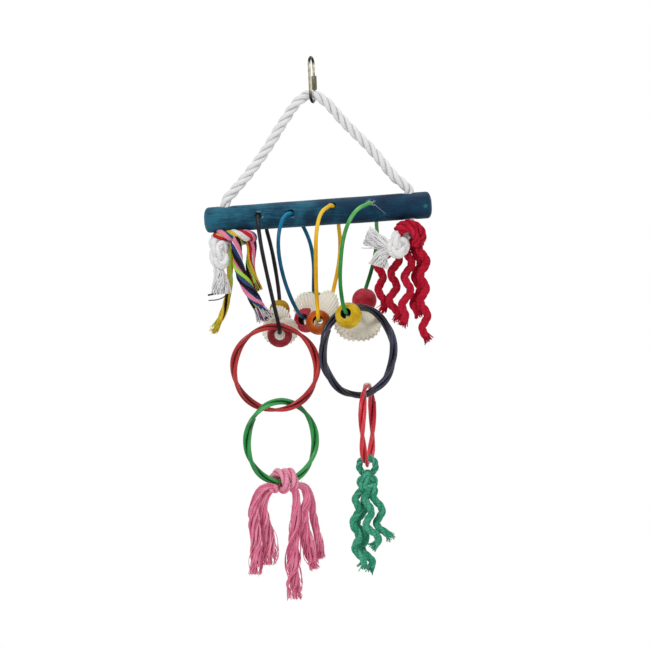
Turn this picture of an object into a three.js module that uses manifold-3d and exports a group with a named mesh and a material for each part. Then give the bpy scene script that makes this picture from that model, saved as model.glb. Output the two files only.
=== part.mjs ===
// A hanging bird toy: a steel quick link carries a rope yoke with a wooden perch, from which cane loops
// with beads and shells, twisted cane rings and rope tassels hang.
// Millimetres, +Z up, +X to the right and +Y away from the viewer.
// The origin is the point where a hook or a cage bar carries the link, inside its top bend.

import * as THREE from 'three';
import { mergeVertices } from 'three/addons/utils/BufferGeometryUtils.js';
import Module from 'manifold-3d';

const wasm = await Module();
wasm.setup();

// Clearances between pieces
const SEAT_GAP = 0.35; // between a piece and what carries it
const FORM_GAP = 0.5; // between neighbouring strands of one twisted or wound piece

// Yoke
const YOKE_HEIGHT = 117.3; // from the hook's point down to the perch's middle
const ROPE_STRAIGHT = 3; // the rope enters the perch straight from this height above it

// Quick link
const LINK_WIRE = 2.5;
const LINK_LENGTH = 36.7;
const LINK_WIDTH = 14.5;
const LINK_TURN = 78; // degrees about the vertical, nearly edge-on
const LINK_MOUTH = 6; // gap in the wire, covered by the nut
const LINK_MOUTH_HEIGHT = 16; // from the link's lowest point up to the mouth's middle
const NUT_LENGTH = 10.6;
const NUT_ACROSS_FLATS = 4.6;
const NUT_BORE_GAP = 0.3;
const WIRE_SIDES = 8;
const LINK_STEPS = 32;

// Perch and its holes
const PERCH_LENGTH = 174;
const PERCH_DIAMETER = 20; // at mid length
const PERCH_TAPER = 1.2; // the right end is thicker than the left by this much
const PERCH_CHAMFER = 1.6;
const PERCH_TILT = 4; // degrees, right end up
const PERCH_ASIDE = 5.3; // its middle lies this far to the right of the hook
const PERCH_SIDES = 24;
const ROPE_HOLE_FROM_END = 17.2;
const ROPE_HOLE_GAP = 0.6;
const ROPE_HOLE_FLARE = 2.4; // countersink, added to the radius at both mouths
const ROPE_HOLE_FLARE_DEPTH = 3.6;
const ROPE_HOLE_SIDES = 12;
const CANE_HOLE = 5;
const CANE_HOLE_SIDES = 8;
const CANE_STRAIGHT = 2; // the cane leaves its hole straight for this length
const CANE_HOLE_YAW = 12; // degrees, the drill runs from front left to back right

// Rope and cane
const ROPE_DIAMETER = 7.5;
const ROPE_SIDES = 8;
const ROPE_STEPS = 52;
const CANE_DIAMETER = 2.8;
const CANE_SIDES = 6;
const LOOP_STEPS = 50;

// Beads
const BEAD_BORE = 8.2;
const BEAD_GAP = 0.75; // between a bead's bore and the bent cane in it
const BEAD_DIAMETER = 19;
const LARGE_BEAD_DIAMETER = 20;
const SMALL_BEAD_DIAMETER = 15.5;
const SMALL_BEAD_BORE = 6.8;
const BEAD_SIDES = 16;
const BEAD_ARCS = 6;

// Shells
const SHELL_WALL = 1.2;
const SHELL_HOLE = 4.8;
const SHELL_RIBS = 8;
const SHELL_RIB_HEIGHT = 0.45;
const SHELL_HOLE_SIDES = 8;
const SHELL_ROWS = [0.16, 0.4, 0.7, 1]; // rings of points, as shares of the way from beak to edge
const SHELL_FAN = 86; // degrees from its middle line to each side
const SHELL_CROWN = 0.62; // below 1 the dome is highest nearer to the beak
const SHELL_FULLNESS = 0.85; // below 1 the dome is fuller than a plain arch
const SHELL_ROUNDNESS = 0.55; // below 1 the edge is rounder than a plain fan
const SHELL_BREADTH = 1.16; // the plain fan's width for its length

// Twisted cane rings
const RING_STRAND = 2.6;
const RED_RING_OUTSIDE = 69;
const GREEN_RING_OUTSIDE = 67;
const NAVY_RING_OUTSIDE = 73;
const CRIMSON_RING_OUTSIDE = 66.5;
const RING_CONTACT = 9; // degrees to each side of a contact over which strands bear
const RING_END_GAP = 5; // between the two cut ends of one ring's cane
const RING_START = 200; // degrees, where the cane starts
const RING_STEPS = 24; // for each turn
const RED_RING_TURN = 5; // degrees about the vertical, as are the other turns
const RED_RING_SEAT = 111.3; // along the black loop's cane
const RED_RING_SIDE = -3.2; // the ring's middle lies beside its seat
const GREEN_RING_TURN = 33;
const GREEN_RING_ASIDE = 8; // degrees from the red ring's lowest point
const GREEN_RING_ROOM = 0.75;
const NAVY_RING_TURN = 36;
const NAVY_RING_SEAT = 147; // along the green loop's cane
const NAVY_RING_SIDE = 2.6;
const CRIMSON_RING_TURN = 82;
const CRIMSON_RING_ASIDE = 15; // degrees from the navy ring's lowest point
const CRIMSON_RING_ROOM = 2;

// Tassel ropes
const PINK_STRAND = 5.2;
const TEAL_STRAND = 4.6;
const RED_STRAND = 4.6;
const RED_HITCH_STRAND = 6;
const MULTI_STRAND = 6.8;
const ROPE_HITCH_GAP = 0.6; // between the yoke rope and a hitch round it
const PINK_BORE_GAP = 0.6; // room for the ring's bend inside the hitch
const TEAL_BORE_GAP = 1.6; // room for the ring inside the knot's loop
const TAIL_STRAIGHT = 3; // a strand leaves its knot straight for this length
const WAVE_LENGTH = 18; // one curl of an unlaid strand
const WAVE_RADIUS = 1.8;
const STRAND_SIDES = 8;
const WAVY_SIDES = 5;
const CURL_STEPS = 8;
const GAP_SAMPLES = 600; // places along a wound piece where its own gaps are measured

// Finishes
const finish = (color, roughness, metalness = 0) =>
  new THREE.MeshStandardMaterial({ color, roughness, metalness });
const NICKEL = finish('#b5b09c', 0.3, 1);
const PERCH_WOOD = finish('#1d4a63', 0.7);
const COTTON = finish('#e9e8ea', 0.95);
const SHELL = finish('#ece4d4', 0.6);

const radians = THREE.MathUtils.degToRad;
const toVector = (point) => new THREE.Vector3(...point);
const UP = new THREE.Vector3(0, 0, 1);

const toy = new THREE.Group();

function addMesh(name, geometry, material, place) {
  const mesh = new THREE.Mesh(geometry, material);
  mesh.name = name;
  if (place) mesh.applyMatrix4(place);
  toy.add(mesh);
  return mesh;
}

// Joins and cuts

function toSolid(geometry) {
  const bare = geometry.index ? geometry.toNonIndexed() : geometry.clone();
  bare.deleteAttribute('normal');
  bare.deleteAttribute('uv');
  const merged = mergeVertices(bare, 1e-4);
  const mesh = new wasm.Mesh({
    numProp: 3,
    vertProperties: new Float32Array(merged.attributes.position.array),
    triVerts: new Uint32Array(merged.index.array),
  });
  return new wasm.Manifold(mesh);
}

function toGeometry(solid) {
  const mesh = solid.getMesh();
  const geometry = new THREE.BufferGeometry();
  geometry.setAttribute('position', new THREE.BufferAttribute(mesh.vertProperties, 3));
  geometry.setIndex(new THREE.BufferAttribute(mesh.triVerts, 1));
  geometry.computeVertexNormals();
  return geometry;
}

function cut(geometry, tools) {
  const solid = tools.reduce((rest, tool) => rest.subtract(toSolid(tool)), toSolid(geometry));
  return toGeometry(solid);
}

function join(geometries) {
  const solid = geometries.map(toSolid).reduce((sum, next) => sum.add(next));
  return toGeometry(solid);
}

// Tubes

function roundSection(radius, sides) {
  const corner = (index) => {
    const angle = (2 * Math.PI * index) / sides;
    return new THREE.Vector2(radius * Math.cos(angle), radius * Math.sin(angle));
  };
  return new THREE.Shape(Array.from({ length: sides }, (_, index) => corner(index)));
}

// The distance from the middle of a faceted round to its flats
const flatRadius = (diameter, sides) => (diameter / 2) * Math.cos(Math.PI / sides);

function tubeAlong(curve, diameter, sides, steps) {
  curve.arcLengthDivisions = steps * 8;
  const options = { steps, extrudePath: curve, bevelEnabled: false };
  return new THREE.ExtrudeGeometry(roundSection(diameter / 2, sides), options);
}

function routeCurve(points) {
  return new THREE.CatmullRomCurve3(points, false, 'centripetal');
}

// Least clear distance from a tube to other stretches of itself
function leastGap(curve, diameter) {
  const points = curve.getSpacedPoints(GAP_SAMPLES);
  const spacing = curve.getLength() / GAP_SAMPLES;
  const apart = Math.ceil((Math.PI * diameter) / spacing);
  let least = Infinity;
  for (let first = 0; first < points.length; first += 1) {
    for (let second = first + apart; second < points.length; second += 1) {
      least = Math.min(least, points[first].distanceTo(points[second]));
    }
  }
  return least - diameter;
}

function printGap(name, curve, diameter) {
  const gap = leastGap(curve, diameter);
  console.log(`${name}: least gap to itself ${gap.toFixed(2)} mm`);
}

// Quick link: an oval of round wire that starts and ends at its mouth, in the local XZ plane
class LinkCurve extends THREE.Curve {
  constructor() {
    super();
    this.bend = (LINK_WIDTH - LINK_WIRE) / 2;
    this.straight = LINK_LENGTH - LINK_WIDTH;
    this.top = LINK_WIRE / 2 - this.bend; // centre of the top bend
    this.bottom = this.top - this.straight;
    this.mouth = LINK_WIRE - LINK_LENGTH + LINK_MOUTH_HEIGHT;
    this.mouthTop = this.mouth + LINK_MOUTH / 2;
    this.mouthBottom = this.mouth - LINK_MOUTH / 2;
    this.arc = Math.PI * this.bend;
    this.first = this.top - this.mouthTop;
    this.last = this.mouthBottom - this.bottom;
    this.total = this.first + this.last + this.straight + 2 * this.arc;
  }

  getPoint(t, target = new THREE.Vector3()) {
    let run = t * this.total;
    if (run <= this.first) return target.set(this.bend, 0, this.mouthTop + run);
    run -= this.first;
    if (run <= this.arc) {
      const angle = run / this.bend;
      return target.set(this.bend * Math.cos(angle), 0, this.top + this.bend * Math.sin(angle));
    }
    run -= this.arc;
    if (run <= this.straight) return target.set(-this.bend, 0, this.top - run);
    run -= this.straight;
    if (run <= this.arc) {
      const angle = Math.PI + run / this.bend;
      return target.set(this.bend * Math.cos(angle), 0, this.bottom + this.bend * Math.sin(angle));
    }
    return target.set(this.bend, 0, this.bottom + run - this.arc);
  }
}

const linkCurve = new LinkCurve();
const linkTurn = new THREE.Matrix4().makeRotationZ(radians(LINK_TURN));
addMesh('quick_link', tubeAlong(linkCurve, LINK_WIRE, WIRE_SIDES, LINK_STEPS), NICKEL, linkTurn);

function makeLinkNut() {
  const corner = NUT_ACROSS_FLATS / Math.sqrt(3);
  const shape = roundSection(corner, 6);
  const bore = new THREE.Path();
  bore.absarc(0, 0, LINK_WIRE / 2 + NUT_BORE_GAP, 0, 2 * Math.PI, true);
  shape.holes.push(bore);
  const geometry = new THREE.ExtrudeGeometry(shape, {
    depth: NUT_LENGTH, bevelEnabled: false, curveSegments: 10,
  });
  geometry.translate(linkCurve.bend, 0, linkCurve.mouth - NUT_LENGTH / 2);
  return geometry;
}

addMesh('link_nut', makeLinkNut(), NICKEL, linkTurn);

// Perch: places on it are given along its axis and upwards from it
const perchAxis = new THREE.Vector3(Math.cos(radians(PERCH_TILT)), 0, Math.sin(radians(PERCH_TILT)));
const perchUp = new THREE.Vector3(-perchAxis.z, 0, perchAxis.x);
const perchRadius = (along) => PERCH_DIAMETER / 2 + (PERCH_TAPER / 2) * (along / PERCH_LENGTH);

const perchCentre = new THREE.Vector3(PERCH_ASIDE, 0, -YOKE_HEIGHT);

function onPerch(along, up) {
  return perchCentre.clone().addScaledVector(perchAxis, along).addScaledVector(perchUp, up);
}

// The rope holes, left -1 and right 1: what hangs under a hole takes its place from the hole's middle
const ropeHoleAlong = (side) => side * (PERCH_LENGTH / 2 - ROPE_HOLE_FROM_END);
const LEFT_HOLE = onPerch(ropeHoleAlong(-1), 0);
const RIGHT_HOLE = onPerch(ropeHoleAlong(1), 0);
const fromPlace = (place, route) => route.map((point) => toVector(point).add(place));

// Cane loops: where the drill crosses the perch's axis, its tilt, and the route from mouth to mouth,
// which starts from that crossing. Beads, shells and rings hang at lengths along the cane.
const LOOPS = [
  {
    name: 'black_cane_loop',
    material: finish('#2b2b38', 0.5),
    along: -43.5,
    tilt: 4.6,
    route: [
      [-2.51, -15.5, -2.07], [-2.11, -20, -5.67], [-1.31, -25, -11.77], [0.59, -28.5, -23.97],
      [3.39, -30.5, -37.67], [6.79, -31.5, -52.97], [10.29, -31.8, -68.17], [12.79, -31.6, -78.67],
      [13.79, -30.9, -83.67], [14.29, -28.9, -87.27], [14.39, -25.6, -88.47], [14.39, -20, -88.57],
      [14.39, -12.5, -88.57], [14.39, -4, -88.27], [14.39, 3, -87.27], [14.39, 10, -84.67],
      [14.39, 15.5, -80.17], [14.29, 18.3, -74.67], [14.09, 19.2, -69.17], [13.89, 19.6, -62.67],
      [12.89, 20, -53.67], [11.19, 20.4, -42.27], [8.69, 20.2, -28.57], [6.39, 19, -18.57],
      [4.09, 16.5, -10.17],
    ],
  },
  {
    name: 'blue_cane_loop',
    material: finish('#0f6f96', 0.45),
    along: -18.6,
    tilt: 7,
    route: [
      [-5.45, -15, -0.7], [-8.15, -20, -3.9], [-10.25, -23.5, -10.4], [-11.45, -26, -19.6],
      [-11.25, -26.5, -28.7], [-9.75, -26, -38.7], [-6.95, -24, -50.1], [-2.95, -19, -61.5],
      [1.25, -10.5, -70.7], [4.25, -2.5, -75.8], [6.65, 5, -78.3], [8.85, 14, -79.2], [11.45, 23, -79.4],
      [13.65, 30, -78.2], [15.05, 35.6, -74.9], [15.65, 38.2, -69.4], [15.65, 38.6, -63.4],
      [15.15, 38, -56.4], [15.35, 36.4, -49.4], [15.35, 33.4, -40.9], [14.65, 29.4, -31.8],
      [12.85, 24.6, -22.6], [10.15, 19.4, -15], [7.15, 14.8, -8.9],
    ],
  },
  {
    name: 'yellow_cane_loop',
    material: finish('#e0a818', 0.4),
    along: 13.3,
    tilt: 27,
    route: [
      [-5.97, -15.5, 2.77], [-9.77, -20.5, -0.03], [-12.47, -24, -5.83], [-13.97, -26, -13.43],
      [-14.77, -27, -22.53], [-14.87, -27.5, -35.53], [-14.77, -27.5, -49.23], [-14.37, -27, -61.53],
      [-13.77, -26.4, -71.43], [-13.17, -25.4, -79.23], [-12.97, -21.4, -82.63], [-12.87, -12, -83.13],
      [-12.07, -3, -83.23], [-10.67, 4, -82.83], [-8.77, 10, -80.93], [-6.77, 14.5, -76.73],
      [-4.47, 17.5, -70.63], [-2.57, 19, -64.53], [-1.17, 20, -58.43], [0.93, 21, -49.23],
      [2.83, 21.5, -38.63], [3.73, 20.5, -27.93], [3.53, 18.5, -18.03], [2.53, 15.5, -11.13],
    ],
  },
  {
    name: 'green_cane_loop',
    material: finish('#3d9a4a', 0.4),
    along: 42.7,
    tilt: 25,
    route: [
      [-5.6, -16, 2.82], [-10.5, -22.4, 0.52], [-15.5, -28.8, -4.38], [-19.1, -33.2, -10.48],
      [-22, -36.6, -18.18], [-24, -39.5, -27.68], [-25.2, -41.5, -38.38], [-25.8, -43, -49.08],
      [-25.5, -43.5, -59.68], [-24.5, -43.2, -68.08], [-23.3, -42.2, -74.68], [-21.7, -39, -78.98],
      [-19.3, -31, -80.78], [-17.2, -20.5, -80.68], [-15.1, -12, -80.28], [-13.5, -4, -80.08],
      [-12.3, 4, -80.28], [-11.2, 12, -80.68], [-10.2, 19, -80.48], [-9.4, 25.4, -78.68],
      [-8.7, 28.8, -74.28], [-7.9, 29.8, -69.48], [-7, 30, -64.68], [-5.7, 30, -59.88],
      [-3.6, 29.4, -53.68], [-1.4, 28.4, -46.18], [0.8, 26.6, -36.68], [2.5, 23.4, -26.18],
      [2.8, 19, -17.78], [2.1, 14.6, -10.88],
    ],
  },
];

// The drill's direction from the front to the back
function drillDirection(loop) {
  const yaw = radians(CANE_HOLE_YAW);
  const tilt = radians(loop.tilt);
  return new THREE.Vector3()
    .addScaledVector(perchAxis, Math.sin(yaw) * Math.cos(tilt))
    .add(new THREE.Vector3(0, Math.cos(yaw) * Math.cos(tilt), 0))
    .addScaledVector(perchUp, -Math.sin(tilt));
}

// The cane lies on the lower side of its hole, and its two ends nearly meet inside
function loopCurve(loop) {
  const direction = drillDirection(loop);
  const down = UP.clone().projectOnPlane(direction).normalize().negate();
  const centre = onPerch(loop.along, 0)
    .addScaledVector(down, flatRadius(CANE_HOLE, CANE_HOLE_SIDES) - CANE_DIAMETER / 2 - SEAT_GAP);
  const reach = perchRadius(loop.along);
  const inside = (depth) => centre.clone().addScaledVector(direction, depth);
  const points = [inside(-1), inside(-reach / 2), inside(-reach - CANE_STRAIGHT)];
  points.push(...fromPlace(onPerch(loop.along, 0), loop.route));
  points.push(inside(reach + CANE_STRAIGHT), inside(reach / 2), inside(1));
  return routeCurve(points);
}

for (const loop of LOOPS) {
  loop.curve = loopCurve(loop);
  const geometry = tubeAlong(loop.curve, CANE_DIAMETER, CANE_SIDES, LOOP_STEPS);
  addMesh(loop.name, geometry, loop.material);
}

const loopNamed = (name) => LOOPS.find((loop) => loop.name === name);

// A place on a loop, as a length along its cane from the front end: the chord over a piece's length
// there gives its axis, and half of the cane's bow goes to each side of that axis
function onLoop(name, distance, span) {
  const { curve } = loopNamed(name);
  const total = curve.getLength();
  const at = (length) => curve.getPointAt(length / total);
  const first = at(distance - span / 2);
  const last = at(distance + span / 2);
  const middle = at(distance);
  const chord = first.clone().lerp(last, 0.5);
  return {
    point: middle.clone().lerp(chord, 0.5),
    bow: middle.distanceTo(chord) / 2,
    tangent: last.sub(first).normalize(),
  };
}

function makePerch() {
  const half = PERCH_LENGTH / 2;
  const left = perchRadius(-half);
  const right = perchRadius(half);
  const profile = [
    [0, -half], [left - PERCH_CHAMFER, -half], [left, -half + PERCH_CHAMFER],
    [right, half - PERCH_CHAMFER], [right - PERCH_CHAMFER, half], [0, half],
  ].map(([radius, along]) => new THREE.Vector2(radius, along));
  const body = new THREE.LatheGeometry(profile, PERCH_SIDES);
  body.rotateZ(-Math.PI / 2);
  const through = PERCH_DIAMETER * 2;
  const ropeHole = ROPE_DIAMETER / 2 + ROPE_HOLE_GAP;
  const tools = [];
  for (const side of [-1, 1]) {
    const along = ropeHoleAlong(side);
    const reach = perchRadius(along);
    const straight = reach - ROPE_HOLE_FLARE_DEPTH;
    const flare = [
      [0, -through / 2], [ropeHole + ROPE_HOLE_FLARE, -through / 2], [ropeHole + ROPE_HOLE_FLARE, -reach],
      [ropeHole, -straight], [ropeHole, straight],
      [ropeHole + ROPE_HOLE_FLARE, reach], [ropeHole + ROPE_HOLE_FLARE, through / 2], [0, through / 2],
    ].map(([radius, height]) => new THREE.Vector2(radius, height));
    const tool = new THREE.LatheGeometry(flare, ROPE_HOLE_SIDES);
    tool.rotateX(Math.PI / 2);
    tool.translate(along, 0, 0);
    tools.push(tool);
  }
  for (const loop of LOOPS) {
    const tool = new THREE.CylinderGeometry(CANE_HOLE / 2, CANE_HOLE / 2, through, CANE_HOLE_SIDES);
    tool.rotateZ(-radians(CANE_HOLE_YAW));
    tool.rotateX(-radians(loop.tilt));
    tool.translate(loop.along, 0, 0);
    tools.push(tool);
  }
  return cut(body, tools);
}

const perchPlace = new THREE.Matrix4()
  .makeRotationY(-radians(PERCH_TILT))
  .setPosition(perchCentre);
addMesh('perch_dowel', makePerch(), PERCH_WOOD, perchPlace);

// Yoke rope: from the left stop knot up through the perch, over the link's lower bend and down again.
// Its slopes are given as shares of the way across and down from its top to a hole's upper mouth.
const YOKE_TOP_SIDE = 0.4;
const yokeTop = new THREE.Vector3(
  YOKE_TOP_SIDE, 0, 2 * LINK_WIRE - LINK_LENGTH + SEAT_GAP + ROPE_DIAMETER / 2,
);
const YOKE_LEFT = [
  [0.0792, 0.0122], [0.1646, 0.0660], [0.2393, 0.1442], [0.3551, 0.2859], [0.5288, 0.5120],
  [0.7147, 0.7172], [0.8671, 0.8651],
];
const YOKE_RIGHT = [
  [0.0706, 0.0140], [0.1522, 0.0754], [0.2296, 0.1592], [0.3369, 0.2862], [0.4823, 0.4356],
  [0.6263, 0.5850], [0.7513, 0.7400], [0.8586, 0.8712],
];
const LEFT_NECK = [[0.43, -0.3, -13.23], [-0.17, -1.5, -17.83], [-1.97, -4.6, -22.03]];
const RIGHT_NECK = [[0.37, -0.5, -15.17], [-0.73, -2.6, -20.37], [-2.93, -5.6, -23.97]];

function yokeSide(side, slope, neck) {
  const along = ropeHoleAlong(side);
  const reach = perchRadius(along);
  const mouth = onPerch(along, reach + ROPE_STRAIGHT);
  const onSlope = ([across, down]) => new THREE.Vector3(
    THREE.MathUtils.lerp(yokeTop.x, mouth.x, across), 0, THREE.MathUtils.lerp(yokeTop.z, mouth.z, down),
  );
  const inside = [onPerch(along, reach / 2), onPerch(along, -reach / 2), onPerch(along, -reach)];
  return [...slope.map(onSlope), mouth, ...inside, ...fromPlace(onPerch(along, 0), neck)];
}

const yokeCurve = routeCurve([
  ...yokeSide(-1, YOKE_LEFT, LEFT_NECK).reverse(), yokeTop, ...yokeSide(1, YOKE_RIGHT, RIGHT_NECK),
]);
addMesh('yoke_rope', tubeAlong(yokeCurve, ROPE_DIAMETER, ROPE_SIDES, ROPE_STEPS), COTTON);

// Stop knots: a trefoil, as an overhand knot is, under each end of the perch
const STOP_KNOT_ROPE = 4.2;
const STOP_KNOT_RADIUS = 4.6;
const STOP_KNOT_DEPTH = 1.1; // stretch from front to back
const KNOT_STEPS = 40;
const STOP_KNOTS = [
  { name: 'left_stop_knot', hole: LEFT_HOLE, centre: [-5.67, -10, -28.53], turn: [70, 0, 20], stretch: 1.3 },
  {
    name: 'right_stop_knot', hole: RIGHT_HOLE, centre: [-8.83, -11.9, -30.37], turn: [75, 10, -15],
    stretch: 1.25,
  },
];

for (const knot of STOP_KNOTS) {
  const geometry = new THREE.TorusKnotGeometry(STOP_KNOT_RADIUS, STOP_KNOT_ROPE / 2, KNOT_STEPS, CANE_SIDES);
  geometry.scale(1, knot.stretch, STOP_KNOT_DEPTH);
  const turn = new THREE.Euler(...knot.turn.map(radians));
  const centre = toVector(knot.centre).add(knot.hole);
  const place = new THREE.Matrix4().makeRotationFromEuler(turn).setPosition(centre);
  addMesh(knot.name, geometry, COTTON, place);
}

// Frayed rope ends that stick out of the stop knots
const FRAYED_END = 6.4;
const FRAYED_END_STEPS = 5;
const FRAYED_ENDS = [
  ['left_rope_end', LEFT_HOLE, [[-5.87, -9.4, -38.73], [-4.87, -8.6, -46.83], [-3.67, -8, -57.33]]],
  ['right_rope_end_upper', RIGHT_HOLE, [
    [-16.23, -12.4, -29.17], [-25.53, -14, -26.57], [-33.33, -15, -25.17],
  ]],
  ['right_rope_end_lower', RIGHT_HOLE, [
    [-15.13, -12.8, -39.77], [-19.33, -13, -43.17], [-23.53, -13.4, -48.57],
  ]],
];

for (const [name, hole, route] of FRAYED_ENDS) {
  const curve = routeCurve(fromPlace(hole, route));
  addMesh(name, tubeAlong(curve, FRAYED_END, ROPE_SIDES, FRAYED_END_STEPS), COTTON);
}

// Beads on the canes: a ball with a wide bore, which hangs with its bore's wall on the cane
function makeBead(diameter, bore) {
  const radius = diameter / 2;
  const start = Math.asin(bore / diameter);
  const profile = [];
  for (let index = 0; index <= BEAD_ARCS; index += 1) {
    const angle = Math.PI - start - ((Math.PI - 2 * start) * index) / BEAD_ARCS;
    profile.push(new THREE.Vector2(radius * Math.sin(angle), radius * Math.cos(angle)));
  }
  profile.push(profile[0].clone());
  return new THREE.LatheGeometry(profile, BEAD_SIDES);
}

// Turns a piece's own axis to a direction and moves its origin to a point
function placeAlong(axis, direction, point) {
  const turn = new THREE.Quaternion().setFromUnitVectors(axis, direction);
  return new THREE.Matrix4().makeRotationFromQuaternion(turn).setPosition(point);
}

// Each bead's loop and its place along the cane
const BEADS = [
  ['red_front_bead', '#b5323f', BEAD_DIAMETER, BEAD_BORE, 'black_cane_loop', 123.9],
  ['mustard_bead', '#b08a1a', SMALL_BEAD_DIAMETER, SMALL_BEAD_BORE, 'black_cane_loop', 164.7],
  ['red_middle_bead', '#b5323f', BEAD_DIAMETER, BEAD_BORE, 'blue_cane_loop', 127.2],
  ['green_bead', '#3f8a4a', SMALL_BEAD_DIAMETER, SMALL_BEAD_BORE, 'blue_cane_loop', 158],
  ['orange_bead', '#c8601f', BEAD_DIAMETER, BEAD_BORE, 'yellow_cane_loop', 120],
  ['yellow_bead', '#d9b52a', LARGE_BEAD_DIAMETER, BEAD_BORE, 'green_cane_loop', 124.7],
  ['red_back_bead', '#b5323f', BEAD_DIAMETER, BEAD_BORE, 'green_cane_loop', 192.8],
];

for (const [name, colour, diameter, bore, loop, distance] of BEADS) {
  const length = Math.sqrt(diameter ** 2 - bore ** 2);
  const { point, bow, tangent } = onLoop(loop, distance, length);
  const room = flatRadius(bore, BEAD_SIDES) - CANE_DIAMETER / 2;
  const drop = Math.max(0, room - bow - BEAD_GAP);
  const down = UP.clone().negate().projectOnPlane(tangent).normalize();
  point.addScaledVector(down, drop);
  const place = placeAlong(new THREE.Vector3(0, 1, 0), tangent, point);
  addMesh(name, makeBead(diameter, bore), finish(colour, 0.55), place);
}

const domeHeight = (row) => Math.sin(Math.PI * row ** SHELL_CROWN) ** SHELL_FULLNESS;

// Cockle shells: a ribbed dome that fans out from its beak. Its own frame has the hole at the origin,
// the fan towards +Z and the round back towards -Y.
function makeShell(width, length, depth, holeFromBeak) {
  const columns = SHELL_RIBS * 2;
  const widest = radians(SHELL_FAN);
  const wallAtHole = depth * domeHeight(holeFromBeak / length);
  const place = (row, column, inner) => {
    const angle = -widest + (2 * widest * column) / columns;
    const rib = (column % 2 ? SHELL_RIB_HEIGHT : -SHELL_RIB_HEIGHT) * row;
    const reach = length * Math.cos(angle) ** SHELL_ROUNDNESS * row;
    const dome = depth * domeHeight(row) - wallAtHole;
    const side = (reach * Math.sin(angle) * width) / (length * SHELL_BREADTH);
    const up = reach * Math.cos(angle) - holeFromBeak;
    return [side, -dome - rib + (inner ? SHELL_WALL : 0), up];
  };
  const points = [];
  for (const inner of [false, true]) {
    points.push([0, wallAtHole + (inner ? SHELL_WALL : 0), -holeFromBeak]);
    for (const row of SHELL_ROWS) {
      for (let column = 0; column <= columns; column += 1) points.push(place(row, column, inner));
    }
  }
  const sheet = 1 + SHELL_ROWS.length * (columns + 1);
  const at = (row, column) => 1 + row * (columns + 1) + column;
  const triangles = [];
  const add = (a, b, c) => triangles.push([a, b, c], [a + sheet, c + sheet, b + sheet]);
  const wall = (a, b) => triangles.push([b, b + sheet, a], [a, b + sheet, a + sheet]);
  for (let column = 0; column < columns; column += 1) {
    add(0, at(0, column + 1), at(0, column));
    for (let row = 0; row + 1 < SHELL_ROWS.length; row += 1) {
      add(at(row, column), at(row, column + 1), at(row + 1, column));
      add(at(row, column + 1), at(row + 1, column + 1), at(row + 1, column));
    }
    wall(at(SHELL_ROWS.length - 1, column), at(SHELL_ROWS.length - 1, column + 1));
  }
  wall(0, at(0, 0));
  wall(at(0, columns), 0);
  for (let row = 0; row + 1 < SHELL_ROWS.length; row += 1) {
    wall(at(row, 0), at(row + 1, 0));
    wall(at(row + 1, columns), at(row, columns));
  }
  const geometry = new THREE.BufferGeometry();
  geometry.setAttribute('position', new THREE.Float32BufferAttribute(points.flat(), 3));
  geometry.setIndex(triangles.flat());
  const through = length + depth;
  const hole = new THREE.CylinderGeometry(SHELL_HOLE / 2, SHELL_HOLE / 2, through, SHELL_HOLE_SIDES);
  return cut(geometry, [hole]);
}

// Each shell's width, length, depth and hole, its loop and place along the cane, the lean of its fan
// about the cane, its yaw on the cane, and whether its hollow side faces the viewer
const SHELLS = [
  ['black_loop_shell_front', [27, 23, 6.5, 11], 'black_cane_loop', 136.2, 184, 0, false],
  ['black_loop_shell_back', [18, 22, 5, 5.5], 'black_cane_loop', 146, -8, 0, false],
  ['blue_loop_shell', [24, 25, 6.5, 5.5], 'blue_cane_loop', 139, -24, 0, false],
  ['yellow_loop_shell', [20, 29, 6.5, 5.5], 'yellow_cane_loop', 131.4, 19, 0, false],
  ['green_loop_shell_front', [32, 29, 7, 4.5], 'green_cane_loop', 165.6, 196, 20, true],
  ['green_loop_shell_back', [29, 26, 5.5, 4.5], 'green_cane_loop', 169, 220, 12, false],
];

for (const [name, size, loop, distance, lean, yaw, open] of SHELLS) {
  const { point, tangent } = onLoop(loop, distance, SHELL_HOLE);
  const place = placeAlong(new THREE.Vector3(0, 1, 0), tangent.applyAxisAngle(UP, radians(yaw)), point)
    .multiply(new THREE.Matrix4().makeRotationY(radians(lean)))
    .multiply(new THREE.Matrix4().makeRotationZ(open ? Math.PI : 0));
  addMesh(name, makeShell(...size), SHELL, place);
}

// Twisted cane rings: one cane that winds round several times, its turns twisted about each other.
// A ring's own frame has its axis along Y, and an angle of 90 degrees at the top.
class RingCurve extends THREE.Curve {
  constructor(outside, turns, twists, phase) {
    super();
    this.turns = turns;
    this.twist = twists + 1 / turns;
    this.phase = radians(phase);
    this.offset = (RING_STRAND + FORM_GAP) / (2 * Math.sin(Math.PI / turns));
    this.radius = outside / 2 - this.offset - RING_STRAND / 2;
    this.start = radians(RING_START);
    this.sweep = 2 * Math.PI * turns - RING_END_GAP / this.radius;
  }

  getPoint(t, target = new THREE.Vector3()) {
    const angle = this.start + t * this.sweep;
    const twist = angle * this.twist + this.phase;
    const radius = this.radius + this.offset * Math.cos(twist);
    return target.set(radius * Math.cos(angle), this.offset * Math.sin(twist), radius * Math.sin(angle));
  }

  // How far the strands reach from the bundle's middle towards the ring's centre, near an angle
  inwardReach(angle) {
    let reach = 0;
    for (let turn = 0; turn < this.turns; turn += 1) {
      for (let aside = -RING_CONTACT; aside <= RING_CONTACT; aside += 1) {
        const twist = (angle + radians(aside) + 2 * Math.PI * turn) * this.twist + this.phase;
        reach = Math.max(reach, -this.offset * Math.cos(twist));
      }
    }
    return reach + RING_STRAND / 2;
  }
}

const TOP = Math.PI / 2;
const BOTTOM = -Math.PI / 2;

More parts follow.
